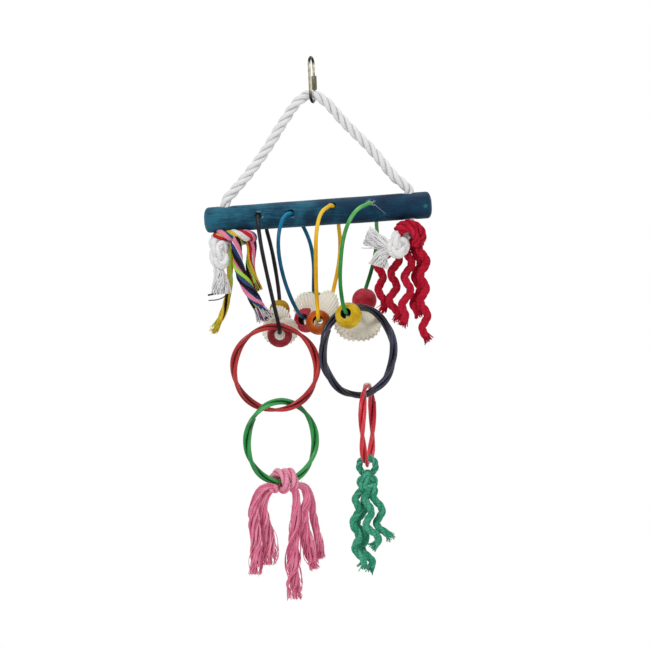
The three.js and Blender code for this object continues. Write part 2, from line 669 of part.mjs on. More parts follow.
function addRing(name, colour, curve, turn, centre) {
  const steps = RING_STEPS * curve.turns;
  const place = new THREE.Matrix4().makeRotationZ(radians(turn)).setPosition(centre);
  addMesh(name, tubeAlong(curve, RING_STRAND, CANE_SIDES, steps), finish(colour, 0.35), place);
  printGap(name, curve, RING_STRAND);
  return { curve, turn, centre };
}

// A ring hangs with the inside of its top bend on a cane
function hangOnCane(curve, seat, side) {
  const rise = CANE_DIAMETER / 2 + SEAT_GAP + curve.inwardReach(TOP);
  const top = seat.point.clone().add(new THREE.Vector3(side, 0, rise));
  return top.addScaledVector(UP, -curve.radius);
}

// A ring hangs in the lower bend of another ring, at an angle from that ring's lowest point, with some
// room for strands that cross aslant
function hangOnRing(curve, upper, aside, room) {
  const angle = BOTTOM + radians(aside);
  const along = upper.curve.radius * Math.cos(angle);
  const seat = upper.centre.clone().add(new THREE.Vector3(
    along * Math.cos(radians(upper.turn)), along * Math.sin(radians(upper.turn)),
    upper.curve.radius * Math.sin(angle),
  ));
  const rise = upper.curve.inwardReach(angle) + SEAT_GAP + room + curve.inwardReach(TOP);
  return seat.addScaledVector(UP, rise - curve.radius);
}

const redCurve = new RingCurve(RED_RING_OUTSIDE, 2, 2, -45);
const redRing = addRing('red_cane_ring', '#b23036', redCurve, RED_RING_TURN,
  hangOnCane(redCurve, onLoop('black_cane_loop', RED_RING_SEAT, RING_STRAND), RED_RING_SIDE));
const greenCurve = new RingCurve(GREEN_RING_OUTSIDE, 2, 2, -45);
const greenRing = addRing('green_cane_ring', '#2e8a45', greenCurve, GREEN_RING_TURN,
  hangOnRing(greenCurve, redRing, GREEN_RING_ASIDE, GREEN_RING_ROOM));
const navyCurve = new RingCurve(NAVY_RING_OUTSIDE, 3, 2, 60);
const navyRing = addRing('navy_cane_ring', '#33344a', navyCurve, NAVY_RING_TURN,
  hangOnCane(navyCurve, onLoop('green_cane_loop', NAVY_RING_SEAT, RING_STRAND), NAVY_RING_SIDE));
const crimsonCurve = new RingCurve(CRIMSON_RING_OUTSIDE, 2, 2, 45);
const crimsonRing = addRing('crimson_cane_ring', '#d0303f', crimsonCurve, CRIMSON_RING_TURN,
  hangOnRing(crimsonCurve, navyRing, CRIMSON_RING_ASIDE, CRIMSON_RING_ROOM));

// The lowest point of a ring's bundle
const ringFoot = (ring) => ring.centre.clone().addScaledVector(UP, -ring.curve.radius);
const ringTangent = (ring) => new THREE.Vector3(1, 0, 0).applyAxisAngle(UP, radians(ring.turn));
const bundleRadius = (ring) => ring.curve.offset + RING_STRAND / 2;

// Pink hitch: turns of rope wound round the green ring's lower bend
class HitchCurve extends THREE.Curve {
  constructor(radius, turns, pitch) {
    super();
    Object.assign(this, { radius, turns, pitch });
  }

  getPoint(t, target = new THREE.Vector3()) {
    const angle = 2 * Math.PI * this.turns * (t - 0.5);
    const along = this.pitch * this.turns * (t - 0.5);
    return target.set(along, -this.radius * Math.sin(angle), this.radius * Math.cos(angle));
  }
}

const PINK_TURNS = 3;
const PINK_STEPS = 14; // for each turn
const PINK_END_GAP = 0.7;
const PINK_HITCH_LIFT = 0.8; // the ring's bend rises to both sides of its foot
const PINK_RADIUS = bundleRadius(greenRing) + PINK_BORE_GAP + PINK_STRAND / 2;
const PINK_PITCH = PINK_STRAND + FORM_GAP;
const pinkHitchCurve = new HitchCurve(PINK_RADIUS, PINK_TURNS, PINK_PITCH);
const PINK = finish('#d4577f', 0.95);
const pinkFoot = ringFoot(greenRing).addScaledVector(UP, PINK_HITCH_LIFT);
addMesh('pink_hitch', tubeAlong(pinkHitchCurve, PINK_STRAND, CANE_SIDES, PINK_STEPS * PINK_TURNS), PINK,
  placeAlong(new THREE.Vector3(1, 0, 0), ringTangent(greenRing), pinkFoot));
printGap('pink_hitch', pinkHitchCurve, PINK_STRAND);

// Strands that hang from a hitch or a knot
const PINK_TAIL_STEPS = 8;
const MULTI_TAIL_STEPS = 7;

function addTail(name, points, diameter, material, steps) {
  addMesh(name, tubeAlong(routeCurve(points), diameter, STRAND_SIDES, steps), material);
}

// A strand leaves what holds it straight downwards
const below = (start) => start.clone().addScaledVector(UP, -TAIL_STRAIGHT);

// Places on the pink hitch, from its middle: one of its cut ends, and the underside of a turn
const pinkAlong = ringTangent(greenRing);
const pinkAcross = new THREE.Vector3(-pinkAlong.y, pinkAlong.x, 0);

function pinkEnd(side) {
  return pinkAlong.clone()
    .multiplyScalar((side * PINK_PITCH * PINK_TURNS) / 2)
    .addScaledVector(pinkAcross, side * PINK_END_GAP)
    .addScaledVector(UP, -PINK_RADIUS);
}

function underPink(turn, back) {
  return pinkAlong.clone()
    .multiplyScalar(turn * PINK_PITCH)
    .addScaledVector(pinkAcross, back)
    .addScaledVector(UP, -PINK_RADIUS - PINK_STRAND / 2 - SEAT_GAP);
}

// The pink tails: the first and the last are the winding's own ends, the others hang from its turns
const PINK_TAILS = [
  [pinkEnd(-1), [
    [-4.8, -8.8, -6.4], [-9, -12.4, -9], [-15, -13, -11.5], [-20.4, -12, -19], [-20.6, -10.5, -32],
    [-19.2, -9.5, -45], [-18.9, -9, -57], [-19.3, -9, -71],
  ]],
  [underPink(-0.5, 0), [
    [-3.6, -2, -14], [-9, -3, -21], [-12.5, -3, -30], [-10.5, -2.6, -41], [-9, -2.4, -52],
    [-8.8, -2.4, -64],
  ]],
  [underPink(0.5, 0), [
    [4.6, 0.5, -15], [8.6, -1, -23], [10.6, -1, -33], [9.6, -1, -46], [8.8, -1, -60], [10, -1, -75],
    [11.2, -1, -90],
  ]],
  [underPink(1.5, -1.4), [
    [9, 4, -12.4], [13, 4.6, -16], [17.4, 5, -22], [17, 5, -31], [18.5, 5, -42], [22, 5, -54],
    [26.6, 5, -67],
  ]],
  [pinkEnd(1), [
    [5, 8.8, -6.2], [9, 12.6, -9.5], [15, 13.4, -13.5], [20, 13, -21], [20.4, 12, -32], [23, 11.6, -44],
    [27.5, 11.6, -58],
  ]],
];

PINK_TAILS.forEach(([start, route], index) => {
  const points = [start, ...route.map(toVector)].map((point) => point.add(pinkFoot));
  addTail(`pink_tail_${index + 1}`, points, PINK_STRAND, PINK, PINK_TAIL_STEPS);
});

// Teal knot: a loop round the crimson ring's lower bend, closed by an overhand knot under it
const TEAL = finish('#2b8b6c', 0.95);
const tealBore = bundleRadius(crimsonRing) + TEAL_BORE_GAP;
const tealFoot = ringFoot(crimsonRing)
  .addScaledVector(UP, crimsonRing.curve.inwardReach(BOTTOM) + SEAT_GAP - tealBore);
const TEAL_KNOT_ROPE = 4.2;
const TEAL_KNOT_RADIUS = 5;
const TEAL_KNOT_DROP = 12.6;
const TEAL_TAIL_ROOM = 1.7;
const TEAL_SIDES = 5;
const TEAL_LOOP_STEPS = 16;
const TEAL_KNOT_STEPS = 36;
const TEAL_LOBE_FALL = 30; // degrees, two of the knot's three lobes point downwards

function makeTealKnot() {
  const rope = TEAL_KNOT_ROPE / 2;
  const loop = new THREE.TorusGeometry(tealBore + rope, rope, TEAL_SIDES, TEAL_LOOP_STEPS);
  const knot = new THREE.TorusKnotGeometry(TEAL_KNOT_RADIUS, rope, TEAL_KNOT_STEPS, TEAL_SIDES);
  knot.rotateZ(-radians(TEAL_LOBE_FALL));
  knot.translate(0, -TEAL_KNOT_DROP, 0);
  const both = join([loop, knot]);
  both.rotateX(Math.PI / 2);
  return both;
}

const tealPlace = placeAlong(new THREE.Vector3(0, 1, 0), ringTangent(crimsonRing), tealFoot);
addMesh('teal_knot', makeTealKnot(), TEAL, tealPlace);

// Wavy strands: a curl about a hand-laid line, which grows from nothing at the upper end
class WavyCurve extends THREE.Curve {
  constructor(points) {
    super();
    this.line = routeCurve(points);
    this.length = this.line.getLength();
  }

  getPoint(t, target = new THREE.Vector3()) {
    const angle = (2 * Math.PI * t * this.length) / WAVE_LENGTH;
    const swell = WAVE_RADIUS * Math.min(1, (t * this.length) / (WAVE_LENGTH / 2));
    const middle = this.line.getPointAt(t);
    return target.set(middle.x + swell * Math.cos(angle), middle.y + swell * Math.sin(angle), middle.z);
  }
}

function addWavyTail(name, points, diameter, material) {
  const curve = new WavyCurve(points);
  const steps = Math.round((curve.length / WAVE_LENGTH) * CURL_STEPS);
  addMesh(name, tubeAlong(curve, diameter, WAVY_SIDES, steps), material);
  printGap(name, curve, diameter);
}

// The lower side of the teal knot: a lobe to each side, and two strands that cross between them
const LOBE_REACH = 1.5; // a trefoil's lobes reach this many times its radius
const tealLobe = TEAL_KNOT_RADIUS * LOBE_REACH;
const tealLobeSide = tealLobe * Math.cos(radians(TEAL_LOBE_FALL));
const tealLobeDrop = tealLobe * Math.sin(radians(TEAL_LOBE_FALL));
const TEAL_STARTS = [
  [-tealLobeSide, 0, -tealLobeDrop],
  [0, -TEAL_KNOT_RADIUS / 2, -TEAL_KNOT_RADIUS],
  [0, TEAL_KNOT_RADIUS / 2, -TEAL_KNOT_RADIUS],
  [tealLobeSide, 0, -tealLobeDrop],
];

// The rest of each teal tail's route, from the ring's foot
const TEAL_TAILS = [
  [[-8.2, -1, -28], [-8.7, -2, -36], [-8.7, -2, -48], [-8.2, -2, -60], [-5, -2, -70], [-5.4, -2, -78]],
  [
    [1.2, -4, -29], [0.7, -4.5, -36], [1.2, -4.5, -45], [5.5, -4.5, -53], [6.6, -4.5, -59],
    [5.2, -4.5, -63.5],
  ],
  [[-2.4, 5, -29], [-5, 6, -36], [-5.6, 6, -46], [-3, 6, -55], [-2, 6, -63], [1.3, 6, -72], [2, 6, -81]],
  [[8.4, 0, -28], [9.2, 1, -36], [9.6, 1, -46], [13, 1, -51.5], [18.3, 1, -56]],
];

TEAL_TAILS.forEach((route, index) => {
  const start = toVector(TEAL_STARTS[index])
    .addScaledVector(UP, -TEAL_KNOT_DROP - TEAL_KNOT_ROPE / 2 - SEAT_GAP - TEAL_TAIL_ROOM)
    .applyMatrix4(tealPlace);
  const points = [start, below(start), ...route.map((point) => toVector(point).add(tealFoot))];
  addWavyTail(`teal_tail_${index + 1}`, points, TEAL_STRAND, TEAL);
});

// Hitches round the yoke rope under the perch: a turn of rope, drawn out to one side by a stretch
const RED = finish('#b01e35', 0.95);
const RED_HITCH = {
  name: 'red_hitch', material: RED, hole: RIGHT_HOLE, centre: [-0.33, -1.3, -17.37], lean: [-14, 14, 0],
  strand: RED_HITCH_STRAND, stretch: 0,
};
const MULTI = finish('#7a6a5e', 0.95);
const MULTI_HITCH = {
  name: 'multicolour_hitch', material: MULTI, hole: LEFT_HOLE, centre: [5.73, -0.55, -14.23],
  lean: [-14, 0, 0],
  strand: MULTI_STRAND, stretch: 5.6,
};

const HITCH_SIDES = 8;
const HITCH_STEPS = 18;
const hitchRadius = (hitch) => ROPE_DIAMETER / 2 + ROPE_HITCH_GAP + hitch.strand / 2;

// How far a place of the turn is drawn out, at an angle from its right end
const HITCH_DRAW = 1.6;
const drawnOut = (hitch, turn) =>
  hitch.stretch * THREE.MathUtils.clamp(HITCH_DRAW * Math.cos(turn), -1, 1);

function hitchPlace(hitch) {
  const lean = new THREE.Euler(...hitch.lean.map(radians));
  const centre = toVector(hitch.centre).add(hitch.hole);
  return new THREE.Matrix4().makeRotationFromEuler(lean).setPosition(centre);
}

function addHitch(hitch) {
  const geometry = new THREE.TorusGeometry(hitchRadius(hitch), hitch.strand / 2, HITCH_SIDES, HITCH_STEPS);
  const position = geometry.attributes.position;
  for (let index = 0; index < position.count; index += 1) {
    const around = Math.atan2(position.getY(index), position.getX(index));
    position.setX(index, position.getX(index) + drawnOut(hitch, around));
  }
  addMesh(hitch.name, geometry, hitch.material, hitchPlace(hitch));
}

// The place just under a hitch's turn, at an angle from its right end towards the back
function underHitch(hitch, angle, room) {
  const turn = radians(angle);
  const along = hitchRadius(hitch) * Math.cos(turn) + drawnOut(hitch, turn);
  const place = new THREE.Vector3(along, hitchRadius(hitch) * Math.sin(turn), 0);
  const drop = hitch.strand / 2 + SEAT_GAP + room;
  return place.applyMatrix4(hitchPlace(hitch)).addScaledVector(UP, -drop);
}

addHitch(RED_HITCH);
addHitch(MULTI_HITCH);

// Tails of the hitches: the angle where each one starts, its room under the hitch's slope, and its route
const RED_TAILS = [
  [162, 1, [
    [-11.93, 6, -29.57], [-17.93, 11, -36.57], [-22.33, 13, -45.57], [-21.93, 14, -55.57],
    [-20.93, 14, -67.57], [-20.73, 14, -80.57],
  ]],
  [118, 1, [
    [-4.53, 6, -27.57], [-8.53, 8.6, -36.57], [-11.33, 9, -47.57], [-11.53, 9, -59.57],
    [-12.93, 9, -73.57], [-10.73, 9, -88.57],
  ]],
  [74, 1, [
    [1.07, 5.4, -28.57], [0.07, 3.4, -36.57], [-0.33, 1.4, -45.57], [-1.53, 1, -56.57],
    [-1.33, 1, -68.57], [-4.93, 1, -80.57], [-4.73, 1, -91.57],
  ]],
  [30, 1, [
    [6.07, 3.4, -28.57], [6.67, 5, -36.57], [6.47, 7, -45.57], [6.67, 8, -58.57], [5.47, 8, -71.57],
    [5.87, 8, -84.17],
  ]],
  [-14, 1, [
    [7.47, -3, -26.57], [10.07, -3, -34.57], [11.07, -2, -43.57], [10.67, -1, -55.57], [10.67, -1, -71.57],
    [11.87, -1, -86.57], [12.67, -1, -103.17],
  ]],
];

RED_TAILS.forEach(([angle, room, route], index) => {
  const start = underHitch(RED_HITCH, angle, room);
  const points = [start, below(start), ...fromPlace(RIGHT_HOLE, route)];
  addWavyTail(`red_tail_${index + 1}`, points, RED_STRAND, RED);
});

const MULTI_TAILS = [
  [-84, 0.2, [
    [7.73, -9.4, -24.83], [8.93, -10, -33.83], [13.33, -10.5, -46.83], [20.53, -10.5, -59.43],
    [26.93, -10.5, -70.83],
  ]],
  [0, 0.8, [[18.93, -0.4, -23.83], [18.13, 1, -33.83], [19.33, 2, -43.83], [23.93, 2, -55.43]]],
  [100, 0.2, [
    [3.33, 7.4, -25.83], [2.73, 8, -37.83], [1.73, 8, -51.83], [-1.07, 8, -65.83], [-8.07, 8, -82.83],
  ]],
];

MULTI_TAILS.forEach(([angle, room, route], index) => {
  const start = underHitch(MULTI_HITCH, angle, room);
  const points = [start, below(start), ...fromPlace(LEFT_HOLE, route)];
  addTail(`multicolour_tail_${index + 1}`, points, MULTI_STRAND, MULTI, MULTI_TAIL_STEPS);
});

export default toy;
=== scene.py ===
"""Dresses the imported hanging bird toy: laid cotton rope, cane, dyed wood, shells and rope tassels."""
import math

import bmesh
import bpy
import numpy as np
from mathutils import Matrix, Vector


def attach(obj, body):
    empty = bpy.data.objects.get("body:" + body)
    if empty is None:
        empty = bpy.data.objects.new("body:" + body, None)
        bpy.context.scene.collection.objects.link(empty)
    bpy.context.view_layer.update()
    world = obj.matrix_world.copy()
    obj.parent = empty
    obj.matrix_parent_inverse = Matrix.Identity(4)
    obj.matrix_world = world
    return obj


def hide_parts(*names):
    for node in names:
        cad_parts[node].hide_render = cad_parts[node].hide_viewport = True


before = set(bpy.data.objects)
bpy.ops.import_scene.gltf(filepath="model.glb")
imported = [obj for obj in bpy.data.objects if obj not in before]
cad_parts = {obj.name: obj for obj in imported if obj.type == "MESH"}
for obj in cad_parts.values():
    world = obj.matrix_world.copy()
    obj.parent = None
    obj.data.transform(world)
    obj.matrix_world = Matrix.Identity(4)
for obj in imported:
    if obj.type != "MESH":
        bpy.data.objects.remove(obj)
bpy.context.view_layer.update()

MM = 0.001
scene = bpy.context.scene

# Camera: a long lens, level with the middle of the picture
VIEW_WIDTH = 0.496
VIEW_CENTRE = (0.0107, -0.2027)
LENS = 300
SENSOR = 36
camera = bpy.data.objects.new("camera", bpy.data.cameras.new("camera"))
camera.data.lens = LENS
camera.data.sensor_width = SENSOR
camera.location = (VIEW_CENTRE[0], -VIEW_WIDTH * LENS / SENSOR, VIEW_CENTRE[1])
camera.rotation_euler = (math.radians(90), 0, 0)
camera.data.clip_end = 50
scene.collection.objects.link(camera)
scene.camera = camera
scene.view_settings.view_transform = "Standard"


# Finishes

def linear(code):
    """A colour written as sRGB hex, as the linear values that the sockets take."""
    values = [int(code[index:index + 2], 16) / 255 for index in (1, 3, 5)]
    return [v / 12.92 if v <= 0.04045 else ((v + 0.055) / 1.055) ** 2.4 for v in values] + [1]


def set_sockets(tree, node, sockets):
    """Sets sockets of a node to values, or links them to the outputs of other nodes."""
    for name, value in sockets.items():
        if isinstance(value, bpy.types.NodeSocket):
            tree.links.new(value, node.inputs[name])
        else:
            node.inputs[name].default_value = value


def add(tree, kind, sockets=None, stops=(), **settings):
    """Adds a shader node and gives its outputs. A colour ramp has stops: places with an sRGB hex each."""
    node = tree.nodes.new("ShaderNode" + kind)
    for name, value in settings.items():
        setattr(node, name, value)
    set_sockets(tree, node, sockets or {})
    for _ in stops[2:]:
        node.color_ramp.elements.new(1)
    for index, (place, code) in enumerate(stops):
        node.color_ramp.elements[index].position = place
        node.color_ramp.elements[index].color = linear(code)
    return node.outputs


def new_material(name):
    material = bpy.data.materials.new(name)
    material.use_nodes = True
    return material, material.node_tree


def surface(material, sockets):
    """Sets and links the sockets of a material's shader."""
    set_sockets(material.node_tree, material.node_tree.nodes["Principled BSDF"], sockets)
    return material


YARN_PITCH = 0.9  # mm along a strand from one twist line of its yarn to the next
EVEN_TINT = 0.3  # how light a rolled piece is for its material, unless it says otherwise


def cotton(name, dark, middle, light):
    """Spun cotton yarn: dull, with twist lines, loose fibre and uneven dye from one strand to the next."""
    material, tree = new_material(name)
    uv = add(tree, "UVMap", uv_map="UVMap")["UV"]
    place = add(tree, "TexCoord")["Object"]
    # One turn round the strand moves a twist line by three pitches
    twist = add(tree, "Mapping", {"Vector": uv, "Scale": (3, 1 / YARN_PITCH, 1)})["Vector"]
    lines = add(tree, "TexWave", {"Vector": twist, "Scale": 0.31, "Distortion": 1.2, "Detail": 2,
                                  "Detail Scale": 1.5}, bands_direction="DIAGONAL")["Fac"]
    fibre = add(tree, "TexNoise", {"Vector": place, "Scale": 900, "Detail": 4})["Fac"]
    blotch = add(tree, "TexNoise", {"Vector": place, "Scale": 160, "Detail": 3})["Fac"]
    # Each strand's tint, which holds painted shade where the strands of a rope turn in to each other
    tint = add(tree, "Attribute", attribute_name="tint")["Fac"]
    mixed = add(tree, "Math", {0: blotch, 1: 0.55, 2: tint}, operation="MULTIPLY_ADD")[0]
    shade = add(tree, "Math", {0: lines, 1: 0.16, 2: mixed}, operation="MULTIPLY_ADD")[0]
    colour = add(tree, "ValToRGB", {"Fac": shade}, [(0.1, dark), (0.5, middle), (0.95, light)])["Color"]
    height = add(tree, "Math", {0: fibre, 1: 0.5, 2: lines}, operation="MULTIPLY_ADD")[0]
    bump = add(tree, "Bump", {"Height": height, "Strength": 0.3, "Distance": 0.15 * MM})["Normal"]
    return surface(material, {"Base Color": colour, "Normal": bump, "Roughness": 0.95,
                              "Specular IOR Level": 0.05, "Sheen Weight": 0.05})


def cane(name, dark, middle, light, fade=0.0, lacquer=0.0):
    """Dyed and lacquered rattan core: a long fine grain under a soft gloss, uneven where the dye took.
    With a fade, a loop has painted light near the perch and painted shade at its foot."""
    material, tree = new_material(name)
    uv = add(tree, "UVMap", uv_map="UVMap")["UV"]
    place = add(tree, "TexCoord")["Object"]
    # Grain lines 0.4 mm apart round the cane, drawn out over 25 mm along it
    drawn = add(tree, "Mapping", {"Vector": uv, "Scale": (22, 0.04, 1)})["Vector"]
    grain = add(tree, "TexNoise", {"Vector": drawn, "Scale": 1, "Detail": 3})["Fac"]
    blotch = add(tree, "TexNoise", {"Vector": place, "Scale": 45, "Detail": 3})["Fac"]
    shade = add(tree, "Math", {0: grain, 1: 0.45, 2: blotch}, operation="MULTIPLY_ADD")[0]
    # Painted light and shade by height: lighter up near the perch, darker towards the foot
    height = add(tree, "SeparateXYZ", {"Vector": place})["Z"]
    painted_light = add(tree, "MapRange", {"Value": height, "From Min": -190 * MM, "From Max": -115 * MM,
                                  "To Min": -fade - EVEN_TINT, "To Max": fade - EVEN_TINT})["Result"]
    with_painted_light = add(tree, "Math", {0: shade, 1: painted_light}, operation="ADD")[0]
    # A rolled piece's tint, which on the rings holds painted shade in their creases
    tint = add(tree, "Attribute", attribute_name="tint")["Fac"]
    tinted = add(tree, "Math", {0: with_painted_light, 1: tint}, operation="ADD")[0]
    colour = add(tree, "ValToRGB", {"Fac": tinted}, [(0.45, dark), (0.72, middle), (0.98, light)])["Color"]
    gloss = add(tree, "MapRange", {"Value": grain, "To Min": 0.2, "To Max": 0.4})["Result"]
    bump = add(tree, "Bump", {"Height": grain, "Strength": 0.15, "Distance": 0.12 * MM})["Normal"]
    return surface(material, {"Base Color": colour, "Roughness": gloss, "Normal": bump,
                              "Specular IOR Level": 0.16, "Coat Weight": lacquer, "Coat Roughness": 0.2})


def wood(name, dark, middle, light, grain_turn=(0, 0, 0), grain_width=1.1, roughness=0.55, blotches=0.6,
         figure=0.35):
    """Dyed hardwood, turned and waxed: grain lines and pores that took the dye more deeply, and mottling.
    The figure is how strongly the grain shows."""
    material, tree = new_material(name)
    place = add(tree, "TexCoord")["Object"]
    along = 1 / (14 * grain_width * MM)
    across = 1 / (grain_width * MM)
    drawn = add(tree, "Mapping", {"Vector": place, "Rotation": grain_turn, "Scale": (along, across, across)})
    grain = add(tree, "TexNoise", {"Vector": drawn["Vector"], "Scale": 0.6, "Detail": 5, "Roughness": 0.6,
                                   "Distortion": 0.3})["Fac"]
    blotch = add(tree, "TexNoise", {"Vector": place, "Scale": 75, "Detail": 3})["Fac"]
    uneven = add(tree, "Math", {0: blotch, 1: blotches, 2: 0.9 - (blotches + figure) / 2},
                 operation="MULTIPLY_ADD")[0]
    shade = add(tree, "Math", {0: grain, 1: figure, 2: uneven}, operation="MULTIPLY_ADD")[0]
    colour = add(tree, "ValToRGB", {"Fac": shade}, [(0.72, dark), (0.89, middle), (1.0, light)])["Color"]
    wax = add(tree, "MapRange", {"Value": grain, "To Min": roughness - 0.12, "To Max": roughness + 0.2})
    bump = add(tree, "Bump", {"Height": grain, "Strength": 0.3, "Distance": 0.2 * MM})["Normal"]
    return surface(material, {"Base Color": colour, "Roughness": wax["Result"], "Normal": bump,
                              "Specular IOR Level": 0.15})


def fade_wood(material, start, end, amount):
    """Lets a wood grow darker along X, between two places."""
    tree = material.node_tree
    ramp = tree.nodes["Color Ramp"]
    place = add(tree, "TexCoord")["Object"]
    along = add(tree, "SeparateXYZ", {"Vector": place})["X"]
    fade = add(tree, "MapRange", {"Value": along, "From Min": start, "From Max": end,
                                  "To Min": amount, "To Max": -amount})["Result"]
    shade = ramp.inputs["Fac"].links[0].from_socket
    set_sockets(tree, ramp, {"Fac": add(tree, "Math", {0: shade, 1: fade}, operation="ADD")[0]})


def add_knot(material, centre, radius, code):
    """Shows a small round knot in a wood."""
    tree = material.node_tree
    place = add(tree, "TexCoord")["Object"]
    reach = add(tree, "VectorMath", {0: place, 1: centre}, operation="DISTANCE")["Value"]
    near = add(tree, "MapRange", {"Value": reach, "From Min": radius * 0.6, "From Max": radius,
                                  "To Min": 1.0, "To Max": 0.0})["Result"]
    dyed = tree.nodes["Principled BSDF"].inputs["Base Color"].links[0].from_socket
    mixed = add(tree, "MixRGB", {"Fac": near, "Color1": dyed, "Color2": linear(code)})["Color"]
    surface(material, {"Base Color": mixed})


def shell_lime():
    """Cockle shell, tumbled and dull: cream lime with growth bands across the ribs, and painted shade between
    the ribs.
    """
    material, tree = new_material("cockle_shell_tumbled")
    uv = add(tree, "UVMap", uv_map="UVMap")["UV"]
    place = add(tree, "TexCoord")["Object"]
    # About nine growth bands from the beak to the edge
    bands = add(tree, "Mapping", {"Vector": uv, "Scale": (0.6, 9, 1)})["Vector"]
    growth = add(tree, "TexNoise", {"Vector": bands, "Scale": 1, "Detail": 3})["Fac"]
    blotch = add(tree, "TexNoise", {"Vector": place, "Scale": 120, "Detail": 4})["Fac"]
    # A vertex tint: the shell's tone, with painted shade between ribs, at the beak and in the hollow, and
    # painted light on the inside edge
    tone_and_painted_light = add(tree, "Attribute", attribute_name="tint")["Fac"]
    mixed = add(tree, "Math", {0: growth, 1: 0.45, 2: tone_and_painted_light}, operation="MULTIPLY_ADD")[0]
    shade = add(tree, "Math", {0: blotch, 1: 0.4, 2: mixed}, operation="MULTIPLY_ADD")[0]
    colour = add(tree, "ValToRGB", {"Fac": shade},
                 [(0.3, "#a09074"), (0.55, "#e8dfcd"), (0.85, "#fbf7e8")])["Color"]
    bump = add(tree, "Bump", {"Height": growth, "Strength": 0.35, "Distance": 0.2 * MM})["Normal"]
    return surface(material, {"Base Color": colour, "Normal": bump, "Roughness": 0.5, "Coat Weight": 0.1})


def nickel_plate(name, dull, bright):
    """Bent and nickelled steel: a warm grey metal with rubbed, duller patches."""
    material, tree = new_material(name)
    place = add(tree, "TexCoord")["Object"]
    rubbed = add(tree, "TexNoise", {"Vector": place, "Scale": 260, "Detail": 4})["Fac"]
    # The wire is dark at both bends, 31 mm apart, and bright along the legs
    height = add(tree, "SeparateXYZ", {"Vector": place})["Z"]
    middle = add(tree, "MapRange", {"Value": height, "From Min": -33 * MM, "From Max": 2 * MM})["Result"]
    legs = add(tree, "ValToRGB", {"Fac": middle}, [
        (0.06, "#2a2622"), (0.17, "#6d675a"), (0.27, "#c4bda8"), (0.5, "#b5af9c"), (0.8, "#d6cfba"),
        (0.9, "#3a3a36")])["Color"]
    patches = add(tree, "ValToRGB", {"Fac": rubbed}, [(0.35, dull), (0.65, bright)])["Color"]
    colour = add(tree, "MixRGB", {"Fac": 1, "Color1": legs, "Color2": patches}, blend_type="MULTIPLY")
    worn = add(tree, "MapRange", {"Value": rubbed, "To Min": 0.22, "To Max": 0.42})["Result"]
    return surface(material, {"Base Color": colour["Color"], "Roughness": worn, "Metallic": 1.0})


# Dark, middle and light of each dye, then a loop's fade, painted light at its top and painted shade at its
# foot, or a ring's lacquer
COTTON_DYES = {
    "white": ("#c6c5cb", "#f1f0f1", "#fcfbf9"), "pink": ("#b23a60", "#e8759a", "#fcb2c8"),
    "teal": ("#14604a", "#309474", "#6cc4a4"), "red": ("#7a0b1d", "#b81530", "#d8304a"),
    "navy": ("#101b3c", "#233765", "#3c5488"), "lime": ("#7fae2c", "#a8dc40", "#c8f070"),
    "yellow": ("#b48a10", "#e0b820", "#f2d654"), "rose": ("#b8406a", "#e46a90", "#f59cb6"),
    "scarlet": ("#86101c", "#bf1a2a", "#d84450"), "black": ("#0e0d11", "#221f24", "#403c42"),
}
LOOP_DYES = {
    "black": ("#09080c", "#16141b", "#33303a", 0.08), "blue": ("#032b44", "#045a7e", "#0782ac", 0.16),
    "yellow": ("#d69604", "#f8bc0a", "#ffdc4c", 0.08), "green": ("#14581f", "#2f9040", "#6cc46c", 0.2),
}
RING_DYES = {
    "red": ("#6e0a10", "#b01c22", "#cc3c36", 0.4), "green": ("#064e1e", "#168c3c", "#44b45a", 0.4),
    "navy": ("#07070f", "#17172a", "#3c3e5a", 0.5), "crimson": ("#940a1a", "#d01a2e", "#ea4850", 0.4),
}
COTTON = {colour: cotton(f"{colour}_cotton_yarn", *dye) for colour, dye in COTTON_DYES.items()}
LOOP_CANES = {colour: cane(f"{colour}_dyed_cane", *dye) for colour, dye in LOOP_DYES.items()}
RING_CANES = {colour: cane(f"{colour}_dyed_ring_cane", *dye, lacquer=lacquer)
              for colour, (*dye, lacquer) in RING_DYES.items()}
NICKEL = nickel_plate("nickel_plated_wire", "#b9b4aa", "#ffffff")
NUT_NICKEL = nickel_plate("nickel_plated_turned_nut", "#79766c", "#aaa698")
CUT_CANE = cane("bare_cut_cane", "#a98f58", "#d8c48e", "#eee2bc")
TORN_FIBRE = cane("torn_wood_fibre", "#8a8894", "#c2c0cc", "#eae8ee")
PERCH_TILT = math.radians(4)
PERCH_WOOD = wood("blue_dyed_perch_wood", "#081f36", "#0f3b55", "#27687f", grain_turn=(0, PERCH_TILT, 0),
                  grain_width=0.6, roughness=0.5, blotches=0.4, figure=0.3)
fade_wood(PERCH_WOOD, start=-0.08, end=0.09, amount=0.085)
add_knot(PERCH_WOOD, (0.0872, -0.0098, -0.1124), 0.0019, "#23696c")
# One red dye in two copies: darker, with painted shade, for the front bead and lighter, with painted light,
# for the other two
RED_WOOD = wood("red_dyed_bead_wood", "#640d17", "#8c1e29", "#a83640")
LIT_RED_WOOD = wood("red_dyed_bead_wood_painted_light", "#84101f", "#b4263a", "#c84a5a")
MUSTARD_WOOD = wood("mustard_dyed_bead_wood", "#7c5f08", "#ae850f", "#c49e2a")
GREEN_WOOD = wood("green_dyed_bead_wood", "#177a34", "#2f9a4c", "#58b86c")
ORANGE_WOOD = wood("orange_dyed_bead_wood", "#9a3e06", "#c4560f", "#da762c")
YELLOW_WOOD = wood("yellow_dyed_bead_wood", "#a67f08", "#d2a914", "#e8c83c")
# Painted shade: a dark wood for the bores of the beads, where shade falls inside them
SHADED_BORE_WOOD = wood("bore_wood_painted_shade", "#1c120a", "#2e1e12", "#50381f", grain_width=0.8, roughness=0.85)
SHELL_LIME = shell_lime()


